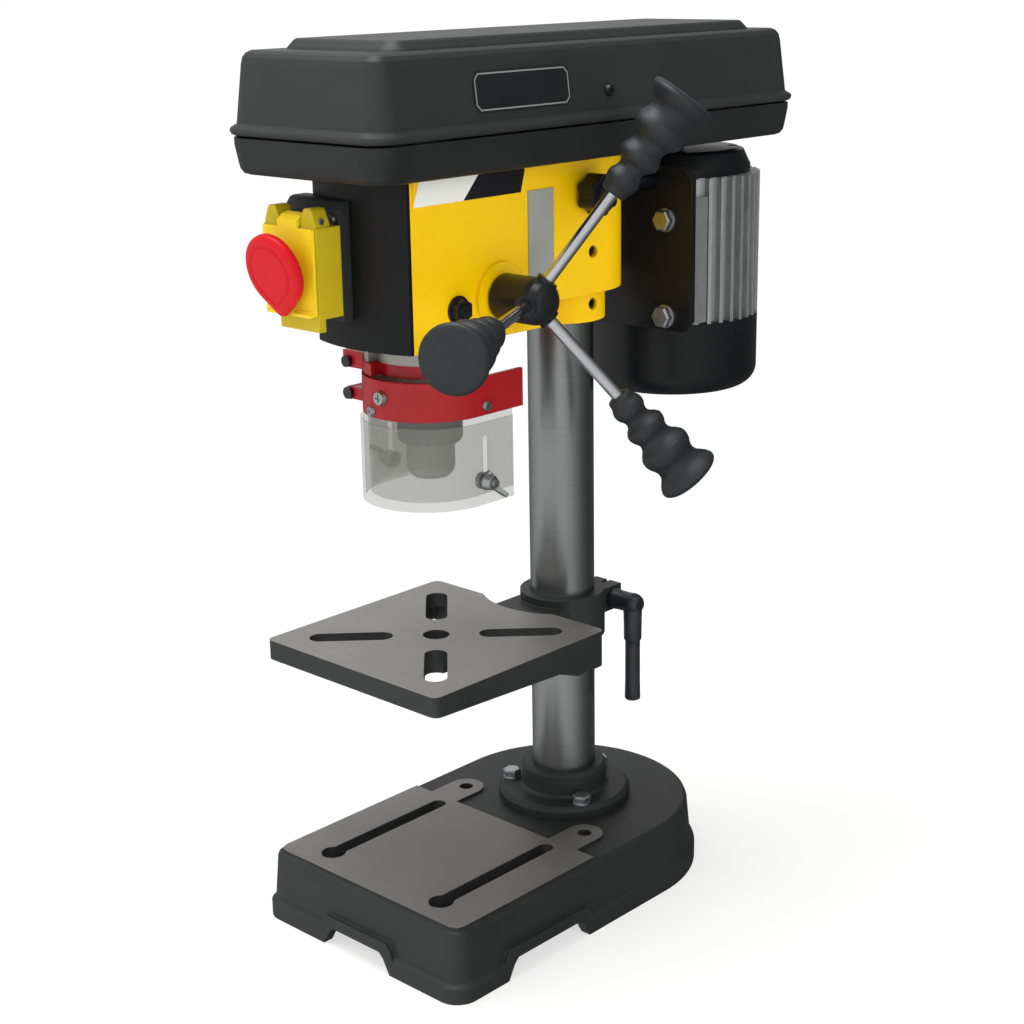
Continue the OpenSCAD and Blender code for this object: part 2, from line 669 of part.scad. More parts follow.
module drive_sleeve() {
    color("#8d9094") translate([0, -throat, bearing_z0 - 2]) difference() {
        cylinder(r = sleeve_r, h = pulley_z0 + 4 * step_h + 8 - bearing_z0 + 2);
        translate([0, 0, -over]) cylinder(r = spline_core + 0.2, h = 120);
        for (a = [0:60:300]) rotate(a) translate([0, -1.7, -over]) cube([spline_r + 0.3, 3.4, 120]);
    }
}

module motor_pulley() {
    color("#a9acb0") translate([0, motor_y, pulley_z0]) difference() {
        step_pulley(motor_steps);
        translate([0, 0, -over]) cylinder(r = 7 + fit, h = 80);
    }
}

module drive_belt() {
    ra = spindle_steps[step_mid] - belt_in;
    rb = motor_steps[step_mid] - belt_in;
    module loop(d) { hull() { translate([0, -throat]) circle(r = ra - d, $fn = 96); translate([0, motor_y]) circle(r = rb - d, $fn = 96); } }
    color("#1b1b1c") translate([0, 0, pulley_z0 + (step_mid + 0.5) * step_h - belt_w / 2])
        linear_extrude(belt_w) difference() { loop(0); loop(belt_t); }
}

module belt_cover() {
    out = [[-3.2, part_z], [-1, part_z + 1], [0, part_z + 3], [-0.6, part_z + 4.8], [-lid_wall_b, part_z + 7],
        [-lid_wall_t, shoulder_z - 8], [-lid_wall_t - 1, shoulder_z - 4], [-lid_wall_t - 3.2, shoulder_z - 1.4],
        [-lid_wall_t - 6.5, shoulder_z]];
    in = [[-3.2 - cover_t, part_z - over], [-3.2 - cover_t, part_z + 4], [-lid_wall_b - cover_t, part_z + 7],
        [-lid_wall_t - cover_t, shoulder_z - 8], [-lid_wall_t - cover_t - 4.5, shoulder_z - cover_t]];
    rise = [[0, shoulder_z - 1], [-0.6, shoulder_z + 1], [-4.4, lid_top - 1], [-6, lid_top]];
    color("#2b2c2f") {
        difference() {
            union() {
                swept_rect(cover_hw, -cover_front, cover_rear, cover_corner, out);
                swept_rect(cover_hw - 21, -cover_front + 34, cover_rear - 30, 12, rise);
            }
            swept_rect(cover_hw, -cover_front, cover_rear, cover_corner, in);
            rod_x(cover_hw - 20, cover_hw, 2 + fit, -25, 563);
            for (y = hinge_ys) translate([-cover_hw - 2, y - 19, part_z - 1]) cube([8, 38, 4.6]);
        }
        for (y = hinge_ys) difference() {
            union() {
                rod_y(y - 5.6, y + 5.6, 2.9, hinge_x, hinge_z);
                translate([hinge_x, y - 5.6, hinge_z - 0.2]) cube([8.6, 11.2, 2.4]);
            }
            rod_y(y - 7, y + 7, 1.5 + 0.1, hinge_x, hinge_z);
        }
    }
}

module cover_plate() {
    lean = atan((lid_wall_t - lid_wall_b) / (shoulder_z - 8 - part_z - 7));
    color("#c9c9c4") translate([cover_hw - lid_wall_b, 0, part_z + 7]) rotate([0, -lean, 0])
        rotate([90, 0, 90]) linear_extrude(0.7) polygon([[-147, 10], [-143, 6], [-66, 6], [-62, 10],
            [-62, 26], [-66, 30], [-143, 30], [-147, 26]]);
}

module cover_screw() {
    x = cover_hw - lid_wall_b - (563 - part_z - 7) / (shoulder_z - 15 - part_z) * (lid_wall_t - lid_wall_b);
    color("#b9bcc0") translate([x + 0.4, -25, 563]) rotate([0, 90, 0]) pan_screw(2, 6);
}

module cover_hinge_pins() {
    color("#b9bcc0") for (y = hinge_ys) rod_y(y - 18.5, y + 18.5, 1.5, hinge_x, hinge_z);
}

module motor_plate() {
    color("#232427") difference() {
        along_y(plate_y, plate_y + plate_t, [[-plate_hw, plate_z0 + 8], [-plate_hw + 8, plate_z0],
            [plate_hw - 8, plate_z0], [plate_hw, plate_z0 + 8], [plate_hw, plate_z1 - 8],
            [plate_hw - 8, plate_z1], [-plate_hw + 8, plate_z1], [-plate_hw, plate_z1 - 8]]);
        for (s = [-1, 1]) {
            rod_y(plate_y - over, plate_y + plate_t + over, 4 + fit, s * rail_x, rail_z);
            for (z = [403, 470]) rod_y(plate_y - over, plate_y + plate_t + over, 4 + fit, s * 45, z);
        }
    }
}

module slide_rods() {
    color("#c4c7ca") for (s = [-1, 1]) {
        rod_y(rail_end, plate_y, rail_r, s * rail_x, rail_z);
        rod_y(plate_y - 1, plate_y + plate_t + 8, 4, s * rail_x, rail_z);
        translate([s * rail_x, plate_y + plate_t + 6, rail_z]) rotate([90, 0, 0]) cylinder(r = 7.4, h = 6, $fn = 6);
    }
}

module motor_body() {
    core = motor_r - 6;
    color("#a4a7aa") difference() {
        union() {
            translate([0, motor_y, motor_z1]) linear_extrude(motor_z2 - motor_z1) {
                circle(r = core, $fn = 120);
                for (i = [0:fin_count - 1]) rotate(360 * i / fin_count) translate([core - 2, -fin_t / 2]) square([8, fin_t]);
            }
            translate([-54, plate_y + plate_t, motor_z1 + 2]) cube([108, motor_y - plate_y - plate_t - 30, 88]);
        }
        translate([0, motor_y, motor_z1 - over]) cylinder(r = 7 + clr, h = motor_z2 - motor_z1 + 2 * over);
        translate([-motor_r - over, 0, motor_z1 - over]) cube([2 * motor_r + 2 * over, plate_y + plate_t, motor_z2 - motor_z1 + 2 * over]);
        for (s = [-1, 1], z = [403, 470]) rod_y(plate_y, plate_y + 24, 4 + fit, s * 45, z);
        for (s = [-1, 1]) translate([s * rail_x - 9, plate_y, rail_z - 9]) cube([18, plate_t + 14, 20]);
    }
}

module motor_bell() {
    h = motor_z1 - motor_z0;
    color("#232427") translate([0, motor_y, motor_z0]) difference() {
        rotate_extrude() difference() {
            union() {
                square([motor_r - 14, h]);
                translate([0, 14]) square([motor_r, h - 14]);
                translate([motor_r - 14, 14]) circle(r = 14);
            }
            translate([-motor_r, -motor_r]) square([motor_r, 3 * motor_r]);
        }
        translate([0, 0, 10]) cylinder(r = 9, h = h);
        difference() {
            translate([0, 0, 12]) cylinder(r = motor_r - 6, h = h);
            cylinder(r = 18, h = h);
        }
        for (a = [0:30:330]) rotate(a) translate([24, -2, -over]) cube([18, 4, 7]);
    }
}

module motor_cap() {
    color("#232427") translate([0, motor_y, motor_z2]) difference() {
        rotate_extrude() polygon([[7.3, 0], [motor_r - 7, 0], [motor_r - 7, 5], [motor_r - 9, 9],
            [motor_r - 12, motor_z3 - motor_z2 - 1.5], [motor_r - 16, motor_z3 - motor_z2], [7.3, motor_z3 - motor_z2]]);
        for (a = [45:90:315]) rotate(a) translate([motor_r - 20, 0, motor_z3 - motor_z2 - 4]) cylinder(r = 4, h = 6);
    }
}

module motor_bolts() {
    color("#b9bcc0") for (s = [-1, 1], z = [403, 470]) translate([s * 45, plate_y, z]) rotate([90, 0, 0])
        hex_bolt(4, plate_t + 16, 8.4);
}

module motor_shaft() {
    color("#c4c7ca") translate([0, motor_y, motor_z0 + 16]) {
        cylinder(r = 7, h = pulley_z0 + 5 * step_h + 3 - motor_z0 - 16);
        translate([0, 0, 2]) cylinder(r = 8.5, h = motor_z1 - motor_z0 - 20);
    }
}

module tension_knob() {
    color("#1f2022") {
        rod_x(rail_x + rail_r + clr, head_hw + 8, 4, -20, rail_z);
        translate([head_hw + 3, -20, rail_z]) rotate([0, 90, 0]) {
            linear_extrude(13) union() {
                circle(r = 11.5);
                for (a = [0:60:300]) rotate(a) translate([9.5, 0]) circle(r = 4);
            }
            cylinder(r = 8, h = 16);
        }
        rod_x(head_hw + clr, head_hw + 4, 6.5, -20, rail_z);
    }
}

module quill() {
    teeth_top = quill_z1 - 3;
    teeth_low = feed_z - 16;
    pitch = PI * gear_m;
    root = rack_y - gear_ded;
    half = pitch / 4 - gear_slack / 2;
    color("#aeb1b5") {
        difference() {
            translate([0, -throat, quill_z0]) cylinder(r = quill_r, h = quill_len);
            translate([0, -throat, quill_z0 - over]) cylinder(r = spindle_r + 1.2, h = quill_len + 2 * over);
            for (b = bearing_seats) translate([0, -throat, b[0]]) cylinder(r = b[1], h = bearing_h);
            translate([0, -throat, quill_z0 - over]) cylinder(r = 12, h = 4);
            translate([0, -throat, quill_z1 - 3]) cylinder(r = 10.6, h = 4);
            translate([-quill_r, root, teeth_low]) cube([2 * quill_r, 20, teeth_top - teeth_low]);
            translate([12, -throat - gib_off - 4.3, feed_z - 12]) cube([10, 8.6, quill_travel + 20]);
        }
        for (k = [-3:ceil((teeth_top - feed_z) / pitch) - 2]) along_x(-pinion_w / 2 - 1, pinion_w / 2 + 1,
            let (z = feed_z + (k + 0.5) * pitch, t = tan(20)) [
                [root - 1, z - half - gear_ded * t], [rack_y + gear_add, z - half + gear_add * t],
                [rack_y + gear_add, z + half - gear_add * t], [root - 1, z + half + gear_ded * t]]);
    }
}

module quill_bearings() {
    color("#8d9094") for (b = bearing_seats) translate([0, -throat, b[0]]) difference() {
        cylinder(r = b[1] - fit, h = bearing_h);
        translate([0, 0, -over]) cylinder(r = spindle_r + fit, h = bearing_h + 3);
    }
}

module spindle() {
    color("#c4c7ca") translate([0, -throat, 0]) {
        translate([0, 0, 356]) cylinder(r1 = 7.2, r2 = 8, h = 16);
        translate([0, 0, 371.5]) cylinder(r = 8, h = quill_z0 - 371);
        translate([0, 0, quill_z0]) cylinder(r = spindle_r, h = quill_len);
        translate([0, 0, quill_z0 - 5]) cylinder(r = 11.4, h = 6.5);
        translate([0, 0, quill_z1 - 1.5]) cylinder(r = spline_core, h = spindle_top - quill_z1);
        for (a = [0:60:300]) rotate(a) translate([0, -1.5, quill_z1 + 4]) cube([spline_r, 3, spindle_top - quill_z1 - 7]);
    }
}

// One jaw's bore or body at the chuck's closed height, leaning out along +X.
module jaw_rod(r, len) {
    translate([jaw_tip_r, 0, jaw_close_z]) rotate([0, jaw_lean, 0]) cylinder(r = r, h = len);
}

module chuck_body() {
    z0 = chuck_z0;
    color("#74777b") translate([0, -throat, 0]) difference() {
        rotate_extrude() polygon([[0, z0], [nose_r - 4, z0], [nose_r - 1.2, z0 + 3], [nose_r, z0 + 6.5], [nose_r, chuck_z1 - 0.5],
            [16.4, chuck_z1 + 0.5], [16.4, chuck_z1 + 11], [17.4, chuck_z1 + 11.5], [17.4, 370], [15, 372.5], [0, 372.5]]);
        translate([0, 0, z0 - over]) cylinder(r = 6.6, h = 352 - z0 + over);
        translate([0, 0, 356 - 0.5]) cylinder(r1 = 7.2 + fit, r2 = 8.05 + fit, h = 17.2);
        for (a = [30:120:270]) rotate(a) jaw_rod(jaw_r + fit, jaw_len + jaw_travel + 0.5);
    }
}

module chuck_sleeve() {
    reach = jaw_tip_r + (jaw_r + 0.4) / cos(jaw_lean) - jaw_close_z * tan(jaw_lean);
    z1 = chuck_z1 + 19;
    color("#4c4f55") translate([0, -throat, 0]) difference() {
        rotate_extrude() polygon([[reach + chuck_z1 * tan(jaw_lean), chuck_z1], [chuck_r - 1.5, chuck_z1], [chuck_r, chuck_z1 + 2.5],
            [chuck_r, z1 - 1.5], [chuck_r - 1.5, z1], [17.4 + fit, z1], [17.4 + fit, chuck_z1 + 12],
            [reach + (chuck_z1 + 9) * tan(jaw_lean), chuck_z1 + 9]]);
        for (a = [0:20:340]) rotate(a) translate([16, -0.9, chuck_z1 - over]) cube([8, 1.8, 3.6]);
    }
}

// A chuck jaw as it stands, drawn back into the body.
module chuck_jaw(turn) {
    color("#9a9da1") translate([0, -throat, 0]) rotate(turn)
        translate([jaw_travel * sin(jaw_lean), 0, jaw_travel * cos(jaw_lean)]) intersection() {
            jaw_rod(jaw_r, jaw_len);
            translate([0, 0, jaw_close_z + 0.8]) linear_extrude(jaw_len + 10)
                polygon([[0.25, 0], [20, 20 * tan(59)], [20, -20 * tan(59)]]);
        }
}
module chuck_jaw_1() { chuck_jaw(30); }
module chuck_jaw_2() { chuck_jaw(150); }
module chuck_jaw_3() { chuck_jaw(270); }

// Direction of one handle: out from the hub, leaning away from the head.
module along_spoke(k) {
    translate([hub_c, feed_y, feed_z]) rotate([handle_turn + 120 * k, 0, 0]) rotate([0, 0, -handle_lean])
        rotate([-90, 0, 0]) children();
}

module feed_hub() {
    color("#1f2022") difference() {
        union() {
            translate([hub_x0, feed_y, feed_z]) rotate([0, 90, 0]) rotate_extrude()
                polygon([[0, 0], [hub_r - 1, 0], [hub_r, 1], [hub_r, 28], [hub_r - 0.8, 32], [hub_r - 3, 36], [hub_r - 6.5, 39],
                    [hub_r - 11, 40.4], [0, 40.8]]);
            for (k = [0:2]) along_spoke(k) cylinder(r = 7, h = 16.5);
        }
        translate([hub_x0 - over, feed_y, feed_z]) rotate([0, 90, 0]) cylinder(r = feed_r + fit, h = 21 + over);
        for (k = [0:2]) along_spoke(k) translate([0, 0, 9]) cylinder(r = spoke_r + fit, h = 20);
    }
}

module pinion_shaft() {
    base_r = pinion_r * cos(20);
    tip_r = pinion_r + gear_add;
    root_r = pinion_r - gear_ded;
    neck = 2.5;
    // Half angle of a tooth at a radius on its involute flank.
    function flank(r) = let (a = r > base_r ? acos(base_r / r) : 0)
        (PI / 2 - gear_slack / gear_m) / pinion_n * 180 / PI + (tan(20) - 20 * PI / 180) * 180 / PI - (tan(a) * 180 / PI - a);
    rs = [root_r, base_r, (base_r + pinion_r) / 2, pinion_r, pinion_r + gear_add / 2, tip_r];
    color("#8d9094") translate([0, feed_y, feed_z]) {
        rotate([0, 90, 0]) {
            translate([0, 0, cap_x + 3.5]) cylinder(r = feed_r, h = -pinion_w / 2 - neck - cap_x - 3.5);
            translate([0, 0, -pinion_w / 2 - neck - 1]) cylinder(r = root_r - 0.5, h = pinion_w + 2 * neck + 2);
            translate([0, 0, pinion_w / 2 + neck]) cylinder(r = feed_r, h = hub_x0 + 20.5 - pinion_w / 2 - neck);
        }
        rotate([90, 0, 90]) translate([0, 0, -pinion_w / 2]) linear_extrude(pinion_w)
            polygon([for (k = [0:pinion_n - 1], q = [0:11]) let (i = q < 6 ? q : 11 - q,
                a = 180 + 360 * k / pinion_n + (q < 6 ? -1 : 1) * flank(rs[i])) [rs[i] * cos(a), rs[i] * sin(a)]]);
    }
}

module feed_spokes() {
    color("#d4d7da") for (k = [0:2]) along_spoke(k) translate([0, 0, 9.5]) cylinder(r = spoke_r, h = handle_len - 30);
}

module feed_grips() {
    s0 = handle_len - 80;
    // Outline of a grip from the hub end to the flared tip, as [along, share of the largest radius].
    shape = [[0, 0.26], [1, 0.36], [4, 0.43], [7.5, 0.46], [11, 0.44], [14, 0.39], [16.5, 0.43], [20, 0.52], [23.5, 0.55],
        [27, 0.52], [30, 0.46], [32.5, 0.51], [36, 0.61], [39.5, 0.65], [43, 0.61], [46.5, 0.53], [49.5, 0.6],
        [53, 0.71], [56.5, 0.74], [60, 0.71], [63, 0.66], [66, 0.7], [69, 0.82], [71.5, 0.95], [73.5, 1], [75.5, 0.98],
        [77.3, 0.88], [78.8, 0.66], [79.7, 0.36], [80, 0.1]];
    color("#1f2022") for (k = [0:2]) along_spoke(k) translate([0, 0, s0]) difference() {
        rotate_extrude() polygon(concat([[0, 0]], [for (p = shape) [p[1] * grip_r, p[0]]], [[0, 80]]));
        translate([0, 0, -over]) cylinder(r = spoke_r + fit, h = handle_len - 20.4 - s0 + over);
    }
}

module guard_collar() {
    color("#b6b3b0") translate([0, -throat, mount_z1]) difference() {
        union() {
            cylinder(r = 34, h = head_z0 - mount_z1);
            intersection() {
                cylinder(r = 41, h = head_z0 - mount_z1);
                translate([-45, -45, 0]) cube([30, 45, head_z0 - mount_z1]);
            }
        }
        translate([0, 0, -over]) cylinder(r = boss_r + fit, h = 40);
    }
}

module guard_mount() {
    arm = 20;
    color("#a8141b") difference() {
        union() {
            translate([0, -throat, boss_z]) {
                cylinder(r = 34, h = mount_z1 - boss_z);
                intersection() {
                    cylinder(r = 42, h = mount_z1 - boss_z);
                    translate([-45, -45, 0]) cube([35, 55, mount_z1 - boss_z]);
                }
            }
            translate([pin_x, lug_y, boss_z]) cube([24, lug_d, lug_h]);
            translate([pin_x - pin_tube, -throat - arm / 2, boss_z]) cube([28, arm, mount_z1 - boss_z]);
            translate([pin_x - pin_tube, -throat - arm / 2, pin_z]) cube([2 * pin_tube, arm, boss_z - pin_z + 2]);
            rod_y(-throat - arm / 2, -throat + arm / 2, pin_tube, pin_x, pin_z);
        }
        translate([0, -throat, boss_z - over]) cylinder(r = boss_r + fit, h = 40);
        translate([0, -throat, mount_z1]) cylinder(r = 41 + clr, h = 40);
        translate([pin_x - 2, lug_y + 6.3, boss_z - over]) cube([28, 2.4, lug_h + 2 * over]);
        rod_y(lug_y - 7, lug_y + lug_d + 3, 2.5 + fit, pin_x + 5, boss_z + 4);
        rod_y(-throat - arm / 2 - 2, -throat + arm / 2 + 2, pin_r + fit, pin_x, pin_z);
    }
}

module guard_pin() {
    color("#b9bcc0") {
        rod_y(-throat - 26.5, -throat + 26.5, pin_r, pin_x, pin_z);
        rod_y(-throat - 28, -throat - 26, 4, pin_x, pin_z);
        rod_y(lug_y - 1, lug_y + lug_d - 0.5, 2.5, pin_x + 5, boss_z + 4);
        rod_y(lug_y - 3, lug_y, 3.8, pin_x + 5, boss_z + 4);
    }
}

// A place on the bracket's round front, its Z pointing outward: p is [across, up from the lower edge].
module on_guard_front(p) {
    translate([0, -throat, guard_z0 + p[1]]) rotate(asin(p[0] / guard_r)) translate([0, -guard_r, 0]) rotate([90, 0, 0]) children();
}

module guard_bracket() {
    ear = 15;
    color("#b5161e") difference() {
        union() {
            u_block(guard_r, guard_rear, guard_z0, guard_z1);
            for (y = [-throat - 25.5, -throat + 10.4]) {
                rod_y(y, y + ear, pin_tube, pin_x, pin_z);
                translate([pin_x, y, pin_z - pin_tube + 0.5]) cube([18, ear, 2 * pin_tube - 1]);
            }
        }
        u_block(guard_in, guard_rear - over, guard_z0 - over, guard_z1 + over);
        rod_y(-throat - 27, -throat + 28, pin_r + 0.1, pin_x, pin_z);
        for (p = side_screws) rod_x(p[0] > 0 ? guard_in - 5 : -guard_r - 5, p[0] > 0 ? guard_r + 5 : -guard_in + 5,
            side_screw_r + fit, p[1], side_screw_z);
        for (p = front_screws) on_guard_front(p) translate([0, 0, -guard_t - 5]) cylinder(r = p[2] + fit, h = guard_t + 8);
    }
}

module guard_screws() {
    color("#b9bcc0") {
        for (p = front_screws) on_guard_front(p) pan_screw(p[2], guard_t + 2.6);
        for (p = side_screws) translate([p[0] * guard_r, p[1], side_screw_z]) rotate([0, p[0] * 90, 0])
            pan_screw(side_screw_r, guard_t + 2.6);
        for (s = [-1, 1]) {
            translate([s > 0 ? guard_in - 3 : -shield_r - 9, -shield_y, stud_z]) rotate([0, 90, 0])
                cylinder(r = stud_r, h = shield_r + 12 - guard_in);
            translate([s > 0 ? guard_in : -guard_r - 0.1, -shield_y, stud_z]) rotate([0, 90, 0]) cylinder(r = 5.5, h = guard_t + 0.1);
        }
    }
}

module guard_shield() {
    color([0.85, 0.87, 0.86, 0.4]) difference() {
        u_block(guard_in - fit, fixed_rear, shield_z0 + 5, guard_z1 - 5);
        u_block(guard_in - fit - shield_t, fixed_rear - over, shield_z0, guard_z1);
        for (p = side_screws) rod_x(p[0] > 0 ? guard_in - 8 : -guard_r - 5, p[0] > 0 ? guard_r + 5 : -guard_in + 8,
            side_screw_r + fit, p[1], side_screw_z);
        for (s = [-1, 1]) rod_x(s > 0 ? guard_in - 8 : -guard_r - 5, s > 0 ? guard_r + 5 : -guard_in + 8, stud_r + fit, -shield_y, stud_z);
        for (p = front_screws) on_guard_front(p) translate([0, 0, -guard_t - 8]) cylinder(r = p[2] + fit, h = guard_t + 8);
    }
}

module sliding_shield() {
    color([0.85, 0.87, 0.86, 0.4]) difference() {
        u_block(shield_r, shield_rear, shield_z0, shield_top);
        u_block(shield_r - shield_t, shield_rear - over, shield_z0 - over, shield_top + over);
        for (s = [-1, 1]) translate([s * shield_r, -shield_y, stud_z + shield_travel / 2]) rotate([0, 90, 0])
            slot_cut(shield_travel + 2 * stud_r + 0.6, 2 * stud_r + 0.6, -5, 5);
    }
}

// A wing nut whose face rests at x = 0, pointing along +X.
module wing_nut() {
    color("#3c3e41") difference() {
        rotate([0, 90, 0]) union() {
            cylinder(r1 = 5.6, r2 = 4.4, h = 5.5);
            for (s = [0, 180]) rotate(s + 40) translate([3.5, -1.3, 1.5]) rotate([0, -25, 0]) cube([9, 2.6, 5]);
        }
        rotate([0, 90, 0]) translate([0, 0, -over]) cylinder(r = stud_r + fit, h = 14);
    }
}
module wing_nut_right() { translate([shield_r + clr, -shield_y, stud_z]) wing_nut(); }
module wing_nut_left() { translate([-shield_r - clr, -shield_y, stud_z]) mirror([1, 0, 0]) wing_nut(); }

module switch_box() {
    back = head_front + 1.5;
    color("#35383b") difference() {
        along_x(switch_x0, sw_x1, [[-box_y, box_z0], [-box_y, box_z1 - 6], [-box_y + 4, box_z1 - 1], [-box_y + 7, box_z1],
            [-back, box_z1], [-back, box_z0]]);
        translate([0, panel_R - panel_y, box_z0 - over]) cylinder(r = panel_R + fit, h = box_z1 - box_z0 + 2 * over, $fn = 180);
        for (x = box_screws) rod_y(-box_y - over, -box_y + 5, box_screw_r + fit, x, box_screw_z);
    }
}

module switch_body() {
    w = sw_x1 - sw_x0;
    color("#dcc414") difference() {
        union() {
            translate([sw_x0, -sw_y, sw_z0]) cube([w, sw_y - box_y, sw_z1 - sw_z0]);
            translate([sw_x0 + 12, -sw_y, sw_z0 - 8]) cube([w - 12.5, 5, 8.5]);
            for (x = [sw_x0 + 1, sw_x1 - ear_w - 1]) along_y(-sw_y + 0.5, -sw_y + 11.5, [[x, sw_z1 - 1], [x + ear_w, sw_z1 - 1],
                [x + ear_w, sw_z1 + 2], [x + ear_w - 3.4, sw_z1 + ear_h - 1], [x + ear_w - 4.6, sw_z1 + ear_h],
                [x + 4.6, sw_z1 + ear_h], [x + 3.4, sw_z1 + ear_h - 1], [x, sw_z1 + 2]]);
        }
        translate([sw_x0 + 5, -sw_y - over, sw_z0 + 5]) cube([w - 10, sw_y - button_floor + over, sw_z1 - sw_z0 - 10]);
        for (z = [stop_z, start_z]) rod_y(-button_floor - over, -button_end, button_r + clr, sw_mid, z);
        rod_x(sw_x0 - over, sw_x1 + over, 2 + fit, -flap_y, flap_z);
        rod_x(sw_x0 + ear_w + 1, sw_x1 - ear_w - 1, flap_r + clr, -flap_y, flap_z);
    }
}

module switch_screws() {
    color("#b9bcc0") {
        rod_x(sw_x0 + 1.5, sw_x1 - 1.5, 2, -flap_y, flap_z);
        for (x = box_screws) translate([x, -box_y, box_screw_z]) rotate([90, 0, 0]) pan_screw(box_screw_r, 4);
    }
}

module switch_flap() {
    y = flap_face;
    x0 = sw_x0 + ear_w + 1 + clr;
    x1 = sw_x1 - ear_w - 1 - clr;
    low = sw_z0 + 2;
    color("#dcc414") difference() {
        union() {
            translate([sw_x0 + 1.5, -y - flap_t, low]) cube([sw_x1 - sw_x0 - 3, flap_t, sw_z1 - 0.5 - low]);
            for (q = [[sw_x0 + 6, sw_mid - 5.5], [sw_mid + 5.5, sw_x1 - 2]]) along_x(q[0], q[1], [[-y - flap_t + 0.5, low],
                [-y - flap_t - 3.6, low - 0.6], [-y - flap_t - 3.6, low + 1.2], [-y - flap_t + 0.5, low + 3.4]]);
            along_x(x0, x1, [[-y - flap_t, sw_z1 - 1.5], [-y, sw_z1 - 1.5], [-y, sw_z1 + 0.6], [-flap_y, sw_z1 + 0.6],
                [-flap_y, flap_z + flap_r - 0.6], [-y + 2.5, flap_z + flap_r - 1], [-y - flap_t, flap_z]]);
            rod_x(x0, x1, flap_r, -flap_y, flap_z);
        }
        rod_x(sw_x0, sw_x1, 2.1, -flap_y, flap_z);
    }
}

// Outline of the stop paddle: a large round top running down to a small tip.
module paddle_outline(inset) {
    hull() {
        translate([0, 29]) circle(r = paddle_r - inset, $fn = 72);
        translate([0, 4.6 + inset / 2]) circle(r = 4.6 - inset / 2, $fn = 32);
    }
}

module stop_paddle() {
    stem_z = sw_z0 + 29;
    color("#b5161e") {
        rod_y(-flap_face - 14.2, -flap_face - flap_t, 9, sw_mid, stem_z);
        translate([sw_mid, -flap_face - flap_t - 2.2, sw_z0 + 1.5]) rotate([13, 0, 0]) rotate([90, 0, 0]) {
            linear_extrude(3.4) paddle_outline(0);
            translate([0, 29, 0]) cylinder(r = paddle_r - 1.4, h = 5.6);
            translate([0, 29, 0]) cylinder(r1 = paddle_r - 1.4, r2 = paddle_r - 5, h = 7);
        }
    }
}

module start_button() {
    color("#2f7d3a") rod_y(-button_floor - 4, -button_end - button_press - 0.2, button_r, sw_mid, start_z);
}
module stop_button() {
    color("#a8141b") rod_y(-button_floor - 4, -button_end - button_press - 0.2, button_r, sw_mid, stop_z);
}

base();
column_flange();
flange_bolts();
column();
work_table();
table_clamp_screw();
table_lever();
head_casting();
front_panel();
head_screws();
side_plates();
pinion_bushing();
spring_cap();
return_spring();
belt_pan();
pulley_bearing();
drive_belt();
belt_cover();
cover_plate();
cover_screw();
cover_hinge_pins();
motor_plate();
slide_rods();
motor_body();
motor_bell();
motor_cap();
motor_bolts();
motor_shaft();
motor_pulley();
tension_knob();
spindle_pulley();
drive_sleeve();
quill();
quill_bearings();
spindle();
chuck_body();
chuck_sleeve();
chuck_jaw_1();
chuck_jaw_2();
chuck_jaw_3();
feed_hub();
pinion_shaft();
feed_spokes();
feed_grips();
guard_collar();
guard_mount();
guard_pin();
guard_bracket();
guard_screws();
guard_shield();
sliding_shield();
wing_nut_right();
wing_nut_left();
switch_box();
switch_body();
switch_screws();
switch_flap();
stop_paddle();
start_button();
stop_button();
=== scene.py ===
"""Benchtop drill press: finishes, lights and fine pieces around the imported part.

Metres, Z up; the front is -Y and the operator's right is +X. Sizes in the classes are in millimetres.
"""

import logging
from dataclasses import dataclass, field, replace
from enum import Enum
from math import acos, cos, pi, radians, sin, sqrt
from typing import Any

import bmesh
import bpy
from mathutils import Matrix, Vector


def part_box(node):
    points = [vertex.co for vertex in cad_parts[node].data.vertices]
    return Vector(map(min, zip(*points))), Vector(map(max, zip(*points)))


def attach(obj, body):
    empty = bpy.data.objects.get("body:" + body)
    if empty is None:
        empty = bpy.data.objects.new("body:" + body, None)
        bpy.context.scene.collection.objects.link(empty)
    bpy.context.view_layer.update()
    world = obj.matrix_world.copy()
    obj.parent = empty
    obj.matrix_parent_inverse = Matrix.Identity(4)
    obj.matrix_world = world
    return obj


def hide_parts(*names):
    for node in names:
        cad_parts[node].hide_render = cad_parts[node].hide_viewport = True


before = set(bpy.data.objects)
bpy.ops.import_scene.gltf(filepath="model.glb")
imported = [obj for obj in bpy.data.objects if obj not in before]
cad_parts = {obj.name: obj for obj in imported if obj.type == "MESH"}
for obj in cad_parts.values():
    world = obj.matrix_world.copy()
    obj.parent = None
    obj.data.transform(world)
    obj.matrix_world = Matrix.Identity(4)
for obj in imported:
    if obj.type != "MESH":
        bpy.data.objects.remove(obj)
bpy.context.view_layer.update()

Tree = bpy.types.NodeTree
Node = bpy.types.Node
Socket = bpy.types.NodeSocket
Object = bpy.types.Object
BMesh = bmesh.types.BMesh
Loop = list[bmesh.types.BMVert]
Place = tuple[float, float, float]
Pair = tuple[float, float]
Profile = tuple[Pair, ...]

LOG = logging.getLogger("drill_press")
MM = 0.001
WHITE = (1.0, 1.0, 1.0, 1.0)
MERGE_M = 1e-7
# Patterns: how fine the noise goes, how its two sizes share, and the spans that drive colour, gloss and the edge
# colour, which stands for wear and for painted highlight and shade along the edges.
GRAIN_DETAIL, GRAIN_ROUGHNESS, PATCH_DETAIL, PATCH_SHARE = 3.0, 0.62, 4.0, 0.45
TONE_SPAN, GLOSS_SPAN = (0.34, 0.66), (0.3, 0.7)
EDGE_SPAN, EDGE_WEAR_AND_PAINTED_LIGHT, EDGE_SAMPLES = (0.985, 0.80), 0.8, 4
BUMP_STRENGTH = 0.55
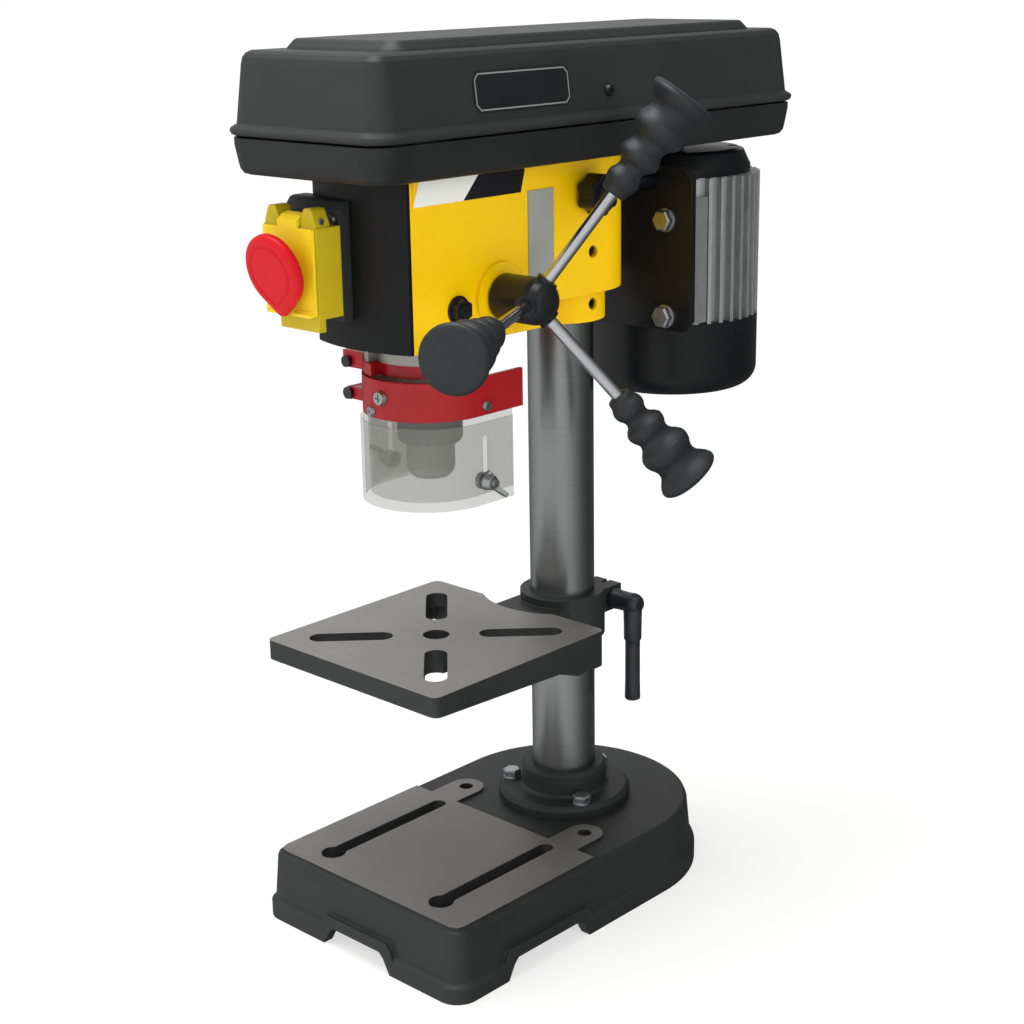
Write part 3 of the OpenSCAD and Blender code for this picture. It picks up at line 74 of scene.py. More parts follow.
# The mix node's first input and its output, for each kind of value.
MIX_SOCKETS = {"FLOAT": (2, 0), "VECTOR": (4, 1), "RGBA": (6, 2)}


def linear(colour: str) -> tuple[float, float, float, float]:
    """Turn an sRGB hex colour into linear RGBA.

    Args:
        colour: the colour as "#rrggbb".

    Returns:
        Linear red, green and blue, with alpha 1.
    """
    parts = [int(colour[i:i + 2], 16) / 255 for i in (1, 3, 5)]
    r, g, b = (c / 12.92 if c <= 0.04045 else ((c + 0.055) / 1.055) ** 2.4 for c in parts)
    return r, g, b, 1.0


def add(tree: Tree, kind: str, sockets: dict[Any, Any] | None = None, **settings: Any) -> Node:
    """Add one node with its settings and its inputs.

    Args:
        tree: the tree that gets the node.
        kind: the node's type name.
        sockets: for each input, by name or number, a value or the socket that feeds it.
        settings: the node's own properties.

    Returns:
        The new node.
    """
    node = tree.nodes.new(kind)
    for name, value in settings.items():
        setattr(node, name, value)
    for key, value in (sockets or {}).items():
        if isinstance(value, Socket):
            tree.links.new(value, node.inputs[key])
        else:
            node.inputs[key].default_value = value
    return node


def put(tree: Tree, kind: str, sockets: dict[Any, Any] | None = None, **settings: Any) -> Socket:
    """Add one node, as add does, and return its first output."""
    return add(tree, kind, sockets, **settings).outputs[0]


def calc(tree: Tree, operation: str, *values: Any) -> Socket:
    """Add one sum of numbers or sockets to a tree and return its socket."""
    return put(tree, "ShaderNodeMath", dict(enumerate(values)), operation=operation)


def ramp(tree: Tree, value: Socket, span: Pair, to: Pair = (0.0, 1.0), **settings: Any) -> Socket:
    """Map a span of a value to another span, held at both ends, and return its socket."""
    ends = {"From Min": span[0], "From Max": span[1], "To Min": to[0], "To Max": to[1]}
    return put(tree, "ShaderNodeMapRange", {"Value": value, **ends}, **settings)


def mix(tree: Tree, share: Any, first: Any, second: Any, kind: str = "FLOAT") -> Socket:
    """Mix two values of one kind, by the share of the second one, and return the socket."""
    slot, result = MIX_SOCKETS[kind]
    return add(tree, "ShaderNodeMix", {0: share, slot: first, slot + 1: second}, data_type=kind).outputs[result]


def mix_colour(tree: Tree, share: Any, first: Any, second: Any) -> Socket:
    """Mix two colours, by the share of the second one, and return the socket."""
    return mix(tree, share, first, second, "RGBA")


def vector(tree: Tree, **axes: Any) -> Socket:
    """Join numbers or sockets, named by their axis, into one vector socket."""
    return put(tree, "ShaderNodeCombineXYZ", axes)


def piece_place(tree: Tree) -> Socket:
    """Return the socket of a point's place on its piece, in metres."""
    return add(tree, "ShaderNodeTexCoord").outputs["Object"]


def axes_of(tree: Tree, place: Socket | None = None) -> Any:
    """Return the X, Y and Z sockets of a vector, or else of a point's place on its piece."""
    return add(tree, "ShaderNodeSeparateXYZ", {0: place or piece_place(tree)}).outputs


def empty_tree(owner: Any) -> Tree:
    """Give a material or a world an empty node tree.

    Args:
        owner: the material or world.

    Returns:
        The tree.
    """
    owner.use_nodes = True
    owner.node_tree.nodes.clear()
    return owner.node_tree


class Grain(Enum):
    """How a surface was made, as the size of one cell of its pattern along X, Y and Z in millimetres.

    A pixel of the render is 0.7 mm, so what is finer on the real surface is drawn as coarse as it needs to show.
    """

    CAST = (2.8, 2.8, 2.8)
    POWDER = (1.9, 1.9, 1.9)
    ENAMEL = (5.0, 5.0, 5.0)
    MOULDED = (1.5, 1.5, 1.5)
    RUBBER = (2.2, 2.2, 2.2)
    MILLED = (60.0, 1.6, 30.0)
    GROUND = (25.0, 25.0, 1.5)
    TURNED = (14.0, 14.0, 1.2)
    PLATED = (3.2, 3.2, 3.2)
    CHROMED = (18.0, 18.0, 18.0)


class Tone(Enum):
    """Which inputs of the shader a finish drives from its patterns."""

    COLOUR = "Base Color"
    METAL = "Metallic"
    ROUGH = "Roughness"
    NORMAL = "Normal"


Tones = dict[Tone, Any]
# What kind of value each tone is.
TONE_KINDS = {Tone.COLOUR: "RGBA", Tone.METAL: "FLOAT", Tone.ROUGH: "FLOAT", Tone.NORMAL: "VECTOR"}


@dataclass(frozen=True)
class Finish:
    """One even finish: two close colours, a grain, an edge colour for wear and painted edge highlight and shade, and a
    gloss.
    """

    name: str
    colour: str
    second: str
    grain: Grain
    roughness: Pair
    metallic: float = 0.0
    depth_mm: float = 0.06
    patch_mm: float = 28.0
    edge_mm: float = 0.7
    edge_colour: str = ""
    ior: float = 1.5
    specular: float = 0.5

    def tones(self, tree: Tree) -> Tones:
        """Make the patterns of this finish.

        Args:
            tree: the material's tree.

        Returns:
            A socket or a value for each tone.
        """
        at = piece_place(tree)
        scale = [1 / (size * MM) for size in self.grain.value]
        cells = put(tree, "ShaderNodeMapping", {"Vector": at, "Scale": scale})
        fine = put(tree, "ShaderNodeTexNoise", {"Vector": cells, "Scale": 1.0, "Detail": GRAIN_DETAIL,
                                                "Roughness": GRAIN_ROUGHNESS})
        patch = put(tree, "ShaderNodeTexNoise", {"Vector": at, "Scale": 1 / (self.patch_mm * MM),
                                                 "Detail": PATCH_DETAIL})
        mottle = mix(tree, PATCH_SHARE, fine, patch)
        share = ramp(tree, mottle, TONE_SPAN)
        colour = mix_colour(tree, share, linear(self.colour), linear(self.second))
        round_edge = put(tree, "ShaderNodeBevel", {"Radius": self.edge_mm * MM}, samples=EDGE_SAMPLES)
        # The edge colour is laid on rounded edges: part wear and part painted highlight where it is paler, painted
        # shade where it is darker.
        if self.edge_colour:
            flat = add(tree, "ShaderNodeNewGeometry").outputs["Normal"]
            turn = add(tree, "ShaderNodeVectorMath", {0: round_edge, 1: flat}, operation="DOT_PRODUCT").outputs["Value"]
            wear_and_painted_edge_light = calc(tree, "MULTIPLY", ramp(tree, turn, EDGE_SPAN, (0.0, EDGE_WEAR_AND_PAINTED_LIGHT)), share)
            colour = mix_colour(tree, wear_and_painted_edge_light, colour, linear(self.edge_colour))
        rough = ramp(tree, mottle, GLOSS_SPAN, self.roughness)
        normal = put(tree, "ShaderNodeBump", {"Strength": BUMP_STRENGTH, "Distance": self.depth_mm * MM,
                                              "Height": fine, "Normal": round_edge})
        return {Tone.COLOUR: colour, Tone.METAL: self.metallic, Tone.ROUGH: rough, Tone.NORMAL: normal}

    def even(self) -> dict[str, float]:
        """Return the even values of the shader's own sockets."""
        return {"IOR": self.ior, "Specular IOR Level": self.specular}

    def shader(self, tree: Tree, tones: Tones) -> Node:
        """Add the shader with the given tones and this finish's even values, and return it."""
        return add(tree, "ShaderNodeBsdfPrincipled", {tone.value: value for tone, value in tones.items()} | self.even())

    def fill(self, tree: Tree) -> Node:
        """Fill a material's tree and return its shader."""
        return self.shader(tree, self.tones(tree))

    def material(self) -> bpy.types.Material:
        """Make the material of this finish, the first time it is asked for.

        Returns:
            The material.
        """
        made = bpy.data.materials.get(self.name)
        if made is None:
            made = bpy.data.materials.new(self.name)
            tree = empty_tree(made)
            add(tree, "ShaderNodeOutputMaterial", {"Surface": self.fill(tree).outputs[0]})
            made.diffuse_color = linear(self.colour)
        return made


@dataclass(frozen=True)
class Land(Finish):
    """A casting in its own finish, with another one on level faces above a height and in front of a limit."""

    land: Finish | None = None
    above_mm: float = 0.0
    before_mm: float = 1000.0
    facing: float = 0.9

    def fill(self, tree: Tree) -> Node:
        """Fill a material's tree with both finishes.

        Args:
            tree: the material's tree.

        Returns:
            The shader node.
        """
        axes = axes_of(tree)
        up = axes_of(tree, add(tree, "ShaderNodeNewGeometry").outputs["True Normal"])["Z"]
        high = calc(tree, "GREATER_THAN", axes["Z"], self.above_mm * MM)
        front = calc(tree, "LESS_THAN", axes["Y"], self.before_mm * MM)
        level = calc(tree, "GREATER_THAN", up, self.facing)
        mask = calc(tree, "MULTIPLY", calc(tree, "MULTIPLY", high, level), front)
        rest, face = self.tones(tree), self.land.tones(tree)
        return self.shader(tree, {tone: mix(tree, mask, rest[tone], face[tone], kind)
                                  for tone, kind in TONE_KINDS.items()})


@dataclass(frozen=True)
class BarePlates(Finish):
    """Bare label plates: a pale and a dark field with a slanted joint, and a grey strip behind them.

    Each field starts at a Y and Z, with a slope, and runs towards the rear until the next one starts.
    """

    dark_colour: str = "#000000"
    strip_colour: str = "#000000"
    head_colour: str = "#000000"
    pale_from_mm: Place = (-175.0, 511.0, 0.36)
    dark_from_mm: Place = (-128.0, 511.0, 0.92)
    head_from_mm: Place = (-81.5, 511.0, 0.3)
    strip_from_mm: Place = (-78.8, 0.0, 0.0)

    def tones(self, tree: Tree) -> Tones:
        """Make the patterns, then lay each field's own colour from its joint towards the rear.

        Args:
            tree: the material's tree.

        Returns:
            A socket or a value for each tone.
        """
        tones = super().tones(tree)
        axes = axes_of(tree)
        colour = linear(self.head_colour)
        fields = ((self.pale_from_mm, tones[Tone.COLOUR]), (self.dark_from_mm, linear(self.dark_colour)),
                  (self.head_from_mm, linear(self.head_colour)), (self.strip_from_mm, linear(self.strip_colour)))
        for (y, z, slope), field_colour in fields:
            lean = calc(tree, "MULTIPLY_ADD", axes["Z"], -slope, (z * slope - y) * MM)
            past = calc(tree, "GREATER_THAN", calc(tree, "ADD", axes["Y"], lean), 0.0)
            colour = mix_colour(tree, past, colour, field_colour)
        tones[Tone.COLOUR] = colour
        return tones


@dataclass(frozen=True)
class BorderPlate(Finish):
    """A bare plate with cut corners and a thin pale line inside its edge."""

    line_colour: str = "#ffffff"
    centre_mm: Pair = (0.0, 0.0)
    half_mm: Pair = (10.0, 10.0)
    cut_mm: float = 4.0
    line_mm: Pair = (1.0, 1.9)

    def tones(self, tree: Tree) -> Tones:
        """Make the patterns, with the line drawn over the plate's colour.

        Args:
            tree: the material's tree.

        Returns:
            A socket or a value for each tone.
        """
        tones = super().tones(tree)
        axes = axes_of(tree)
        gaps = []
        for axis, middle, half in zip("YZ", self.centre_mm, self.half_mm):
            off = calc(tree, "ABSOLUTE", calc(tree, "SUBTRACT", axes[axis], middle * MM))
            gaps.append(calc(tree, "SUBTRACT", half * MM, off))
        corner = calc(tree, "SUBTRACT", calc(tree, "ADD", *gaps), self.cut_mm * MM)
        corner = calc(tree, "MULTIPLY", corner, sqrt(0.5))
        inset = calc(tree, "MINIMUM", calc(tree, "MINIMUM", *gaps), corner)
        past = calc(tree, "GREATER_THAN", inset, self.line_mm[0] * MM)
        short = calc(tree, "LESS_THAN", inset, self.line_mm[1] * MM)
        line = calc(tree, "MULTIPLY", past, short)
        tones[Tone.COLOUR] = mix_colour(tree, line, tones[Tone.COLOUR], linear(self.line_colour))
        return tones


@dataclass(frozen=True)
class ClearSheet(Finish):
    """A thin clear moulded sheet that lets the light straight through."""

    cover: float = 0.5

    def even(self) -> dict[str, float]:
        """Return the even values, with how much the sheet covers."""
        return super().even() | {"Alpha": self.cover}


# In the finishes below, a paler edge colour is part wear and part painted highlight on the edges; the clear sheet's
# darker one is painted shade.
# Grey iron, milled: a soft grey with long fine tool lines and a dull sheen; the base's pad is darker.
MACHINED_IRON = Finish("milled_grey_iron", "#898884", "#9a9995", Grain.MILLED, (0.38, 0.52), 0.75, 0.05, 40.0, 0.8)
PAD_IRON = Finish("milled_base_pad", "#757471", "#83827f", Grain.MILLED, (0.4, 0.54), 0.7, 0.05, 40.0, 0.8)
# Sand cast iron under satin black paint: a faint pebble, and lighter corners that are part wear and part painted
# highlight.
CAST_BLACK = Finish("black_painted_casting", "#1d1e1e", "#242525", Grain.CAST, (0.46, 0.58), 0.0, 0.1, 30.0, 1.4,
                    "#3a3b3b", specular=0.4)
# The same paint on the base, round its milled pad.
BASE_IRON = Land("black_base_milled_pad", "#1d1e1e", "#242525", Grain.CAST, (0.46, 0.58), 0.0, 0.1, 30.0, 1.4,
                 "#3a3b3b", specular=0.4, land=PAD_IRON, above_mm=49.5)
# Dark cast skin on the table and its collar, with a milled top in front of the collar.
TABLE_IRON = Land("grey_table_milled_top", "#242525", "#2d2e2e", Grain.CAST, (0.44, 0.56), 0.2, 0.08, 34.0, 1.2,
                  "#565758", specular=0.4, land=MACHINED_IRON, above_mm=208.5, before_mm=-40.0)
# Ground steel, lightly oiled: a smooth grey with faint rings round it; the column's is a little paler.
GROUND_STEEL = Finish("ground_steel", "#87898a", "#949696", Grain.GROUND, (0.26, 0.34), 1.0, 0.008, 60.0, 0.5)
COLUMN_STEEL = Finish("ground_column_steel", "#8b8d8d", "#959797", Grain.GROUND, (0.28, 0.34), 1.0, 0.008, 60.0, 0.5)
# Bright zinc plate on steel: pale, a little cloudy.
ZINC_STEEL = Finish("bright_zinc_steel", "#a3a5a7", "#b8babb", Grain.PLATED, (0.34, 0.46), 1.0, 0.02, 9.0, 0.5)
# Blackened steel: near black with a dull metal sheen.
BLACK_STEEL = Finish("blackened_steel", "#36383c", "#44464a", Grain.PLATED, (0.28, 0.4), 0.85, 0.02, 9.0, 0.6)
# Turned steel with an oiled skin: blue grey, with rings from the lathe.
DARK_STEEL = Finish("dark_oiled_steel", "#5b606a", "#6e737c", Grain.TURNED, (0.26, 0.38), 1.0, 0.02, 18.0, 0.5)
# Turned steel of the chuck, duller, as it is seen through the shields.
CHUCK_STEEL = Finish("turned_chuck_steel", "#a8a8ad", "#b4b4b9", Grain.TURNED, (0.36, 0.48), 0.5, 0.02, 18.0, 0.5)
# The chuck's toothed sleeve: darker, with a blue cast.
SLEEVE_STEEL = Finish("blue_grey_sleeve_steel", "#5c5e76", "#6a6c86", Grain.TURNED, (0.34, 0.46), 0.45, 0.02, 18.0, 0.5)
# Blued spring strip.
SPRING_STEEL = Finish("blued_spring_steel", "#454a55", "#575c66", Grain.TURNED, (0.26, 0.36), 1.0, 0.02, 12.0, 0.3)
# Gloss enamel over cast iron: saturated, with a slight orange peel.
HEAD_YELLOW = Finish("yellow_enamel_casting", "#e8b900", "#ecbf01", Grain.ENAMEL, (0.34, 0.42), 0.0, 0.02, 60.0, 1.2,
                     "#f0c930", specular=0.15)
# Moulded ABS: an even satin black with a fine spark texture.
PANEL_BLACK = Finish("black_moulded_panel", "#0d0e10", "#121315", Grain.MOULDED, (0.42, 0.52), 0.0, 0.02, 40.0, 0.8,
                     specular=0.2)
# Powder coat on pressed steel: charcoal, slightly pebbled, paler on the folds as wear and painted highlight; the pan
# has the lid's coat, painted darker as shade under the lid.
COVER_BLACK = Finish("charcoal_powder_coat", "#232424", "#2a2b2b", Grain.POWDER, (0.42, 0.52), 0.0, 0.05, 45.0, 1.6,
                     "#454646", specular=0.35)
PAN_PAINTED_SHADE_BLACK = Finish("charcoal_pan_powder_coat", "#1b1c1c", "#212222", Grain.POWDER, (0.44, 0.54), 0.0, 0.05, 45.0, 1.6,
                   "#3a3b3b", specular=0.3)
# Printed sheet without its print: flat, satin.
PLATE_BARE = BarePlates("bare_label_plates", "#dcdcd6", "#e4e4df", Grain.MOULDED, (0.36, 0.44), 0.0, 0.01, 30.0, 0.2,
                        specular=0.3, dark_colour="#17171a", strip_colour="#92938c", head_colour="#eabc00")
# Dark label plate, bare but for its border.
PLATE_DARK = BorderPlate("dark_bordered_plate", "#151618", "#1a1b1d", Grain.MOULDED, (0.34, 0.42), 0.0, 0.01, 30.0, 0.2,
                         specular=0.4, line_colour="#7d7e7c")
# Plain bearing bronze, turned.
BRONZE = Finish("turned_bronze", "#a07a45", "#b58f57", Grain.TURNED, (0.3, 0.42), 1.0, 0.02, 12.0, 0.4)
# Fabric-backed rubber: deep matt black.
BELT_RUBBER = Finish("belt_rubber", "#18181a", "#222224", Grain.RUBBER, (0.62, 0.78), 0.0, 0.05, 10.0, 0.4)
# Die-cast aluminium, bare: pale grey with a grainy dull skin.
ALLOY = Finish("die_cast_aluminium", "#a2a5a5", "#b4b7b6", Grain.PLATED, (0.4, 0.52), 0.8, 0.04, 14.0, 0.5)
# Stoved black paint on the motor: darker and glossier than the cover.
MOTOR_BLACK = Finish("black_stoved_paint", "#0e0f10", "#131416", Grain.POWDER, (0.28, 0.36), 0.0, 0.02, 40.0, 1.2,
                     "#202124", specular=0.22)
# Black phenolic: hard and smooth.
PHENOLIC = Finish("black_phenolic", "#101216", "#15171b", Grain.CHROMED, (0.3, 0.36), 0.0, 0.004, 20.0, 1.0,
                  specular=0.32)
# Nylon with glass fibre: dark blue grey, satin.
LEVER_NYLON = Finish("dark_lever_nylon", "#191f23", "#20272b", Grain.MOULDED, (0.36, 0.46), 0.0, 0.02, 20.0, 1.0)
# Moulded rubber grip: charcoal, matt, a little dusty.
GRIP_RUBBER = Finish("charcoal_grip_rubber", "#191c1e", "#212426", Grain.RUBBER, (0.44, 0.56), 0.0, 0.03, 16.0, 0.8,
                     specular=0.4)
# Polished chrome plate.
CHROME = Finish("chrome_plate", "#b9bcc0", "#c7c9cc", Grain.CHROMED, (0.09, 0.15), 1.0, 0.004, 30.0, 0.4)
# Gloss red moulding, even all over.
GUARD_RED = Finish("red_gloss_moulding", "#8e0b12", "#980e16", Grain.CHROMED, (0.28, 0.34), 0.0, 0.01, 40.0, 1.0,
                   specular=0.35)
# Turned alloy ring of the guard.
GUARD_GREY = Finish("turned_grey_ring", "#8f8f8c", "#9d9c99", Grain.TURNED, (0.4, 0.5), 0.5, 0.02, 20.0, 0.6)
# Clear moulded sheet with a faint grey tint; its dark edge colour is painted shade for the darker outline the sheet
# shows at grazing angles.
CLEAR_SHEET = ClearSheet("clear_polycarbonate", "#76776d", "#7e7f75", Grain.CHROMED, (0.06, 0.1), 0.0, 0.004, 40.0, 1.0,
                         "#1c1d1c", ior=1.58, cover=0.27)
# Switch mouldings: satin, with a fine spark texture.
SWITCH_GREY = Finish("dark_grey_moulding", "#232425", "#2b2c2d", Grain.MOULDED, (0.42, 0.52), 0.0, 0.02, 26.0, 0.9,
                     "#3f4041", specular=0.35)
SWITCH_YELLOW = Finish("yellow_switch_moulding", "#e2c014", "#e8c71d", Grain.MOULDED, (0.36, 0.44), 0.0, 0.02, 22.0,
                       0.8, "#e2d04e", specular=0.25)
# The switch body: the flap's yellow moulding, darkened to olive as painted shade on its sides.
SWITCH_PAINTED_SHADE_YELLOW = Finish("olive_switch_moulding", "#b09a12", "#b8a21a", Grain.MOULDED, (0.4, 0.48), 0.0, 0.02, 22.0, 0.8,
                      "#c9b53c", specular=0.2)
STOP_RED = Finish("red_switch_moulding", "#b9101a", "#c1151f", Grain.MOULDED, (0.32, 0.38), 0.0, 0.01, 18.0, 0.8,
                  specular=0.14)
START_GREEN = Finish("green_switch_moulding", "#1f7a34", "#27873d", Grain.MOULDED, (0.28, 0.36), 0.0, 0.02, 18.0, 0.6)


def posed(place: Vector, *turns: tuple[float, str]) -> Matrix:
    """Work out the matrix of a place and its turns.

    Args:
        place: the place in metres.
        turns: degrees and axis of each turn, the outermost first.

    Returns:
        The matrix.
    """
    pose = Matrix.Translation(place)
    for turn, axis in turns:
        pose = pose @ Matrix.Rotation(radians(turn), 4, axis)
    return pose


def linked(name: str, data: bpy.types.ID) -> Object:
    """Make an object and link it into the scene.

    Args:
        name: its name.
        data: its mesh, light or camera.

    Returns:
        The object.
    """
    made = bpy.data.objects.new(name, data)
    bpy.context.scene.collection.objects.link(made)
    return made


def settle(piece: Object, body: str, node: str) -> None:
    """Let a finished piece ride on a body and hide the node it stands for.

    Args:
        piece: the piece, in place.
        body: the CAD body that carries it.
        node: the CAD node it stands for.
    """
    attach(piece, body)
    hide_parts(node)
    LOG.info("piece %s rides on %s, %d faces", piece.name, body, len(piece.data.polygons))


def mesh_piece(name: str, bm: BMesh, finish: Finish, sharp_deg: float) -> Object:
    """Turn a bmesh into a linked object with smooth faces and sharp edges past an angle.

    Args:
        name: the piece's name.
        bm: its mesh, freed here.
        finish: its finish.
        sharp_deg: the least angle between faces that stays sharp.

    Returns:
        The object.
    """
    bmesh.ops.remove_doubles(bm, verts=bm.verts, dist=MERGE_M)
    bmesh.ops.recalc_face_normals(bm, faces=bm.faces)
    for face in bm.faces:
        face.smooth = True
    mesh = bpy.data.meshes.new(name)
    bm.to_mesh(mesh)
    bm.free()
    mesh.set_sharp_from_angle(angle=radians(sharp_deg))
    mesh.materials.append(finish.material())
    return linked(name, mesh)


def ring(bm: BMesh, radius: float, high: float, sides: int, place: Matrix) -> Loop:
    """Put a ring of points round the Z axis, at a height, and return them in order."""
    angles = (2 * pi * k / sides for k in range(sides))
    return [bm.verts.new(place @ Vector((radius * cos(a), radius * sin(a), high))) for a in angles]


def skin(bm: BMesh, loops: list[Loop], capped: bool = True) -> None:
    """Lay faces between each loop of points and the next.

    Args:
        bm: the mesh that gets the faces.
        loops: loops of equally many points, in order.
        capped: whether the first and the last loop are closed by a face.
    """
    for a, b in zip(loops, loops[1:]):
        for i, corner in enumerate(a):
            j = (i + 1) % len(a)
            bm.faces.new((corner, a[j], b[j], b[i]))
    if capped:
        bm.faces.new(loops[0])
        bm.faces.new(loops[-1])


def lathe(bm: BMesh, profile: Profile, place: Matrix, sides: int = 48) -> None:
    """Turn a profile in millimetres, from its foot up, round the Z axis into a closed skin at a place in metres."""
    skin(bm, [ring(bm, radius, high, sides, place @ Matrix.Scale(MM, 4)) for radius, high in profile])


def realised(name: str, tree: Tree, values: dict[str, Any],
             places: list[tuple[Vector, Vector]] | None = None) -> Object:
    """Run a geometry tree and keep its result as a plain mesh.

    Args:
        name: the piece's name.
        tree: the geometry tree.
        values: the tree's inputs by name.
        places: points in metres and turns in radians, which the tree gets as its geometry.

    Returns:
        The object, without its modifier.
    """
    start = bpy.data.meshes.new(name + "_places")
    if places:
        start.from_pydata([place for place, _ in places], [], [])
        turns = start.attributes.new("turn", "FLOAT_VECTOR", "POINT")
        for item, (_, turn) in zip(turns.data, places):
            item.vector = turn
    piece = linked(name, start)
    modifier = piece.modifiers.new("shape", "NODES")
    modifier.node_group = tree
    for item in tree.interface.items_tree:
        if item.in_out == "INPUT" and item.name in values:
            modifier[item.identifier] = values[item.name]
    bpy.context.view_layer.update()
    graph = bpy.context.evaluated_depsgraph_get()
    mesh = bpy.data.meshes.new_from_object(piece.evaluated_get(graph))
    for extra in {"turn", "outward"} & set(mesh.attributes.keys()):
        mesh.attributes.remove(mesh.attributes[extra])
    paint = [material for material in mesh.materials if material]
    mesh.materials.clear()
    mesh.materials.append(paint[0])
    piece.modifiers.remove(modifier)
    piece.data = mesh
    mesh.name = name
    return piece


def geometry_tree(name: str, floats: tuple[str, ...], **others: str) -> tuple[Tree, Any]:
    """Start a geometry tree with named inputs and one geometry output.

    Args:
        name: the tree's name.
        floats: the names of its inputs that are numbers.
        others: the socket types of its other inputs, by name.

    Returns:
        The tree and the outputs of its input node.
    """
    tree = bpy.data.node_groups.new(name, "GeometryNodeTree")
    tree.interface.new_socket("Places", in_out="INPUT", socket_type="NodeSocketGeometry")
    for key, kind in {**dict.fromkeys(floats, "NodeSocketFloat"), **others}.items():
        tree.interface.new_socket(key, in_out="INPUT", socket_type=kind)
    tree.interface.new_socket("Geometry", in_out="OUTPUT", socket_type="NodeSocketGeometry")
    return tree, add(tree, "NodeGroupInput").outputs


def close_tree(tree: Tree, shape: Socket, finish: Finish, sharp_deg: float) -> None:
    """End a geometry tree: real geometry, smooth faces with sharp edges, one material.

    Args:
        tree: the tree.
        shape: the geometry to end with.
        finish: its finish.
        sharp_deg: the least angle between faces that stays sharp.
    """
    real = put(tree, "GeometryNodeRealizeInstances", {"Geometry": shape})
    angle = add(tree, "GeometryNodeInputMeshEdgeAngle").outputs["Unsigned Angle"]
    smooth = calc(tree, "LESS_THAN", angle, radians(sharp_deg))
    soft = put(tree, "GeometryNodeSetShadeSmooth", {0: real, "Shade Smooth": smooth}, domain="EDGE")
    done = put(tree, "GeometryNodeSetMaterial", {"Geometry": soft, "Material": finish.material()})
    add(tree, "NodeGroupOutput", {0: done})


def moved(tree: Tree, shape: Socket, **change: Any) -> Socket:
    """Move, turn or scale a geometry tree's shape, by the transform node's own input names."""
    return put(tree, "GeometryNodeTransform", {"Geometry": shape, **change})


def attribute(tree: Tree, name: str) -> Socket:
    """Return the socket of a stored vector of a geometry tree."""
    return add(tree, "GeometryNodeInputNamedAttribute", {"Name": name}, data_type="FLOAT_VECTOR").outputs["Attribute"]


@dataclass
class Assembly:
    """A sub-assembly: the finishes of its CAD nodes and the pieces it adds."""

    finishes: dict[str, Finish] = field(default_factory=dict)

    def dress(self) -> None:
        """Give each CAD node its material."""
        for name, finish in self.finishes.items():
            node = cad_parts[name]
            for slot in node.material_slots:
                slot.material = finish.material()
            LOG.info("node %s is %s", name, finish.name)

    def build(self) -> None:
        """Make the pieces that this sub-assembly adds; none here."""


@dataclass
class BoltSet(Assembly):
    """Hexagon bolts with chamfered heads, washers and shanks, all of one size, in the places of a CAD node.

    The head's sizes are shares of the shank's radius; a place is a point in millimetres and a turn in degrees.
    """

    node: str = ""
    body: str = ""
    shank_mm: float = 3.0
    length_mm: float = 20.0
    washer_mm: float = 6.0
    washer_thick_mm: float = 1.6
    washer_rim: float = 0.97
    head: float = 1.95
    head_high: float = 1.05
    chamfer: float = 1.62
    chamfer_high: float = 0.3
    washer_sides: int = 40
    head_sides: int = 6
    shank_sides: int = 32
    places: list[tuple[Place, Place]] = field(default_factory=list)

    def tree(self) -> Tree:
        """Build the geometry tree that sets a bolt, its head up +Z, on each place.

        Returns:
            The tree.
        """
        floats = ("Shank", "Length", "Washer", "Washer Thickness")
        tree, size = geometry_tree("hexagon_bolt", floats)
        shank, long, washer, thick = (size[key] for key in floats)

        def times(value: Socket, share: float) -> Socket:
            """Multiply a size by a share."""
            return calc(tree, "MULTIPLY", value, share)

        head, high = times(shank, self.head), times(shank, self.head_high)
        parts = ((self.washer_sides, times(washer, self.washer_rim), washer, thick, 0.0),
                 (self.head_sides, head, head, high, thick),
                 (self.head_sides, times(shank, self.chamfer), head, times(shank, self.chamfer_high),
                  calc(tree, "ADD", high, thick)),
                 (self.shank_sides, shank, shank, long, times(long, -1.0)))
        joined = add(tree, "GeometryNodeJoinGeometry")
        for sides, top, foot, depth, low in parts:
            rod = add(tree, "GeometryNodeMeshCone", {"Vertices": sides, "Radius Top": top, "Radius Bottom": foot,
                                                     "Depth": depth}).outputs["Mesh"]
            tree.links.new(moved(tree, rod, Translation=vector(tree, Z=low)), joined.inputs[0])
        bolts = put(tree, "GeometryNodeInstanceOnPoints", {"Points": size["Places"], "Instance": joined.outputs[0],
                                                           "Rotation": attribute(tree, "turn")})
        close_tree(tree, bolts, ZINC_STEEL, sharp_deg=25.0)
        return tree

    def build(self) -> None:
        """Make the bolts as one mesh and put it in the node's place."""
        tree = bpy.data.node_groups.get("hexagon_bolt") or self.tree()
        places = [(Vector(place) * MM, Vector(radians(v) for v in turn)) for place, turn in self.places]
        values = {"Shank": self.shank_mm * MM, "Length": self.length_mm * MM, "Washer": self.washer_mm * MM,
                  "Washer Thickness": self.washer_thick_mm * MM}
        settle(realised(self.node + "_set", tree, values, places), self.body, self.node)


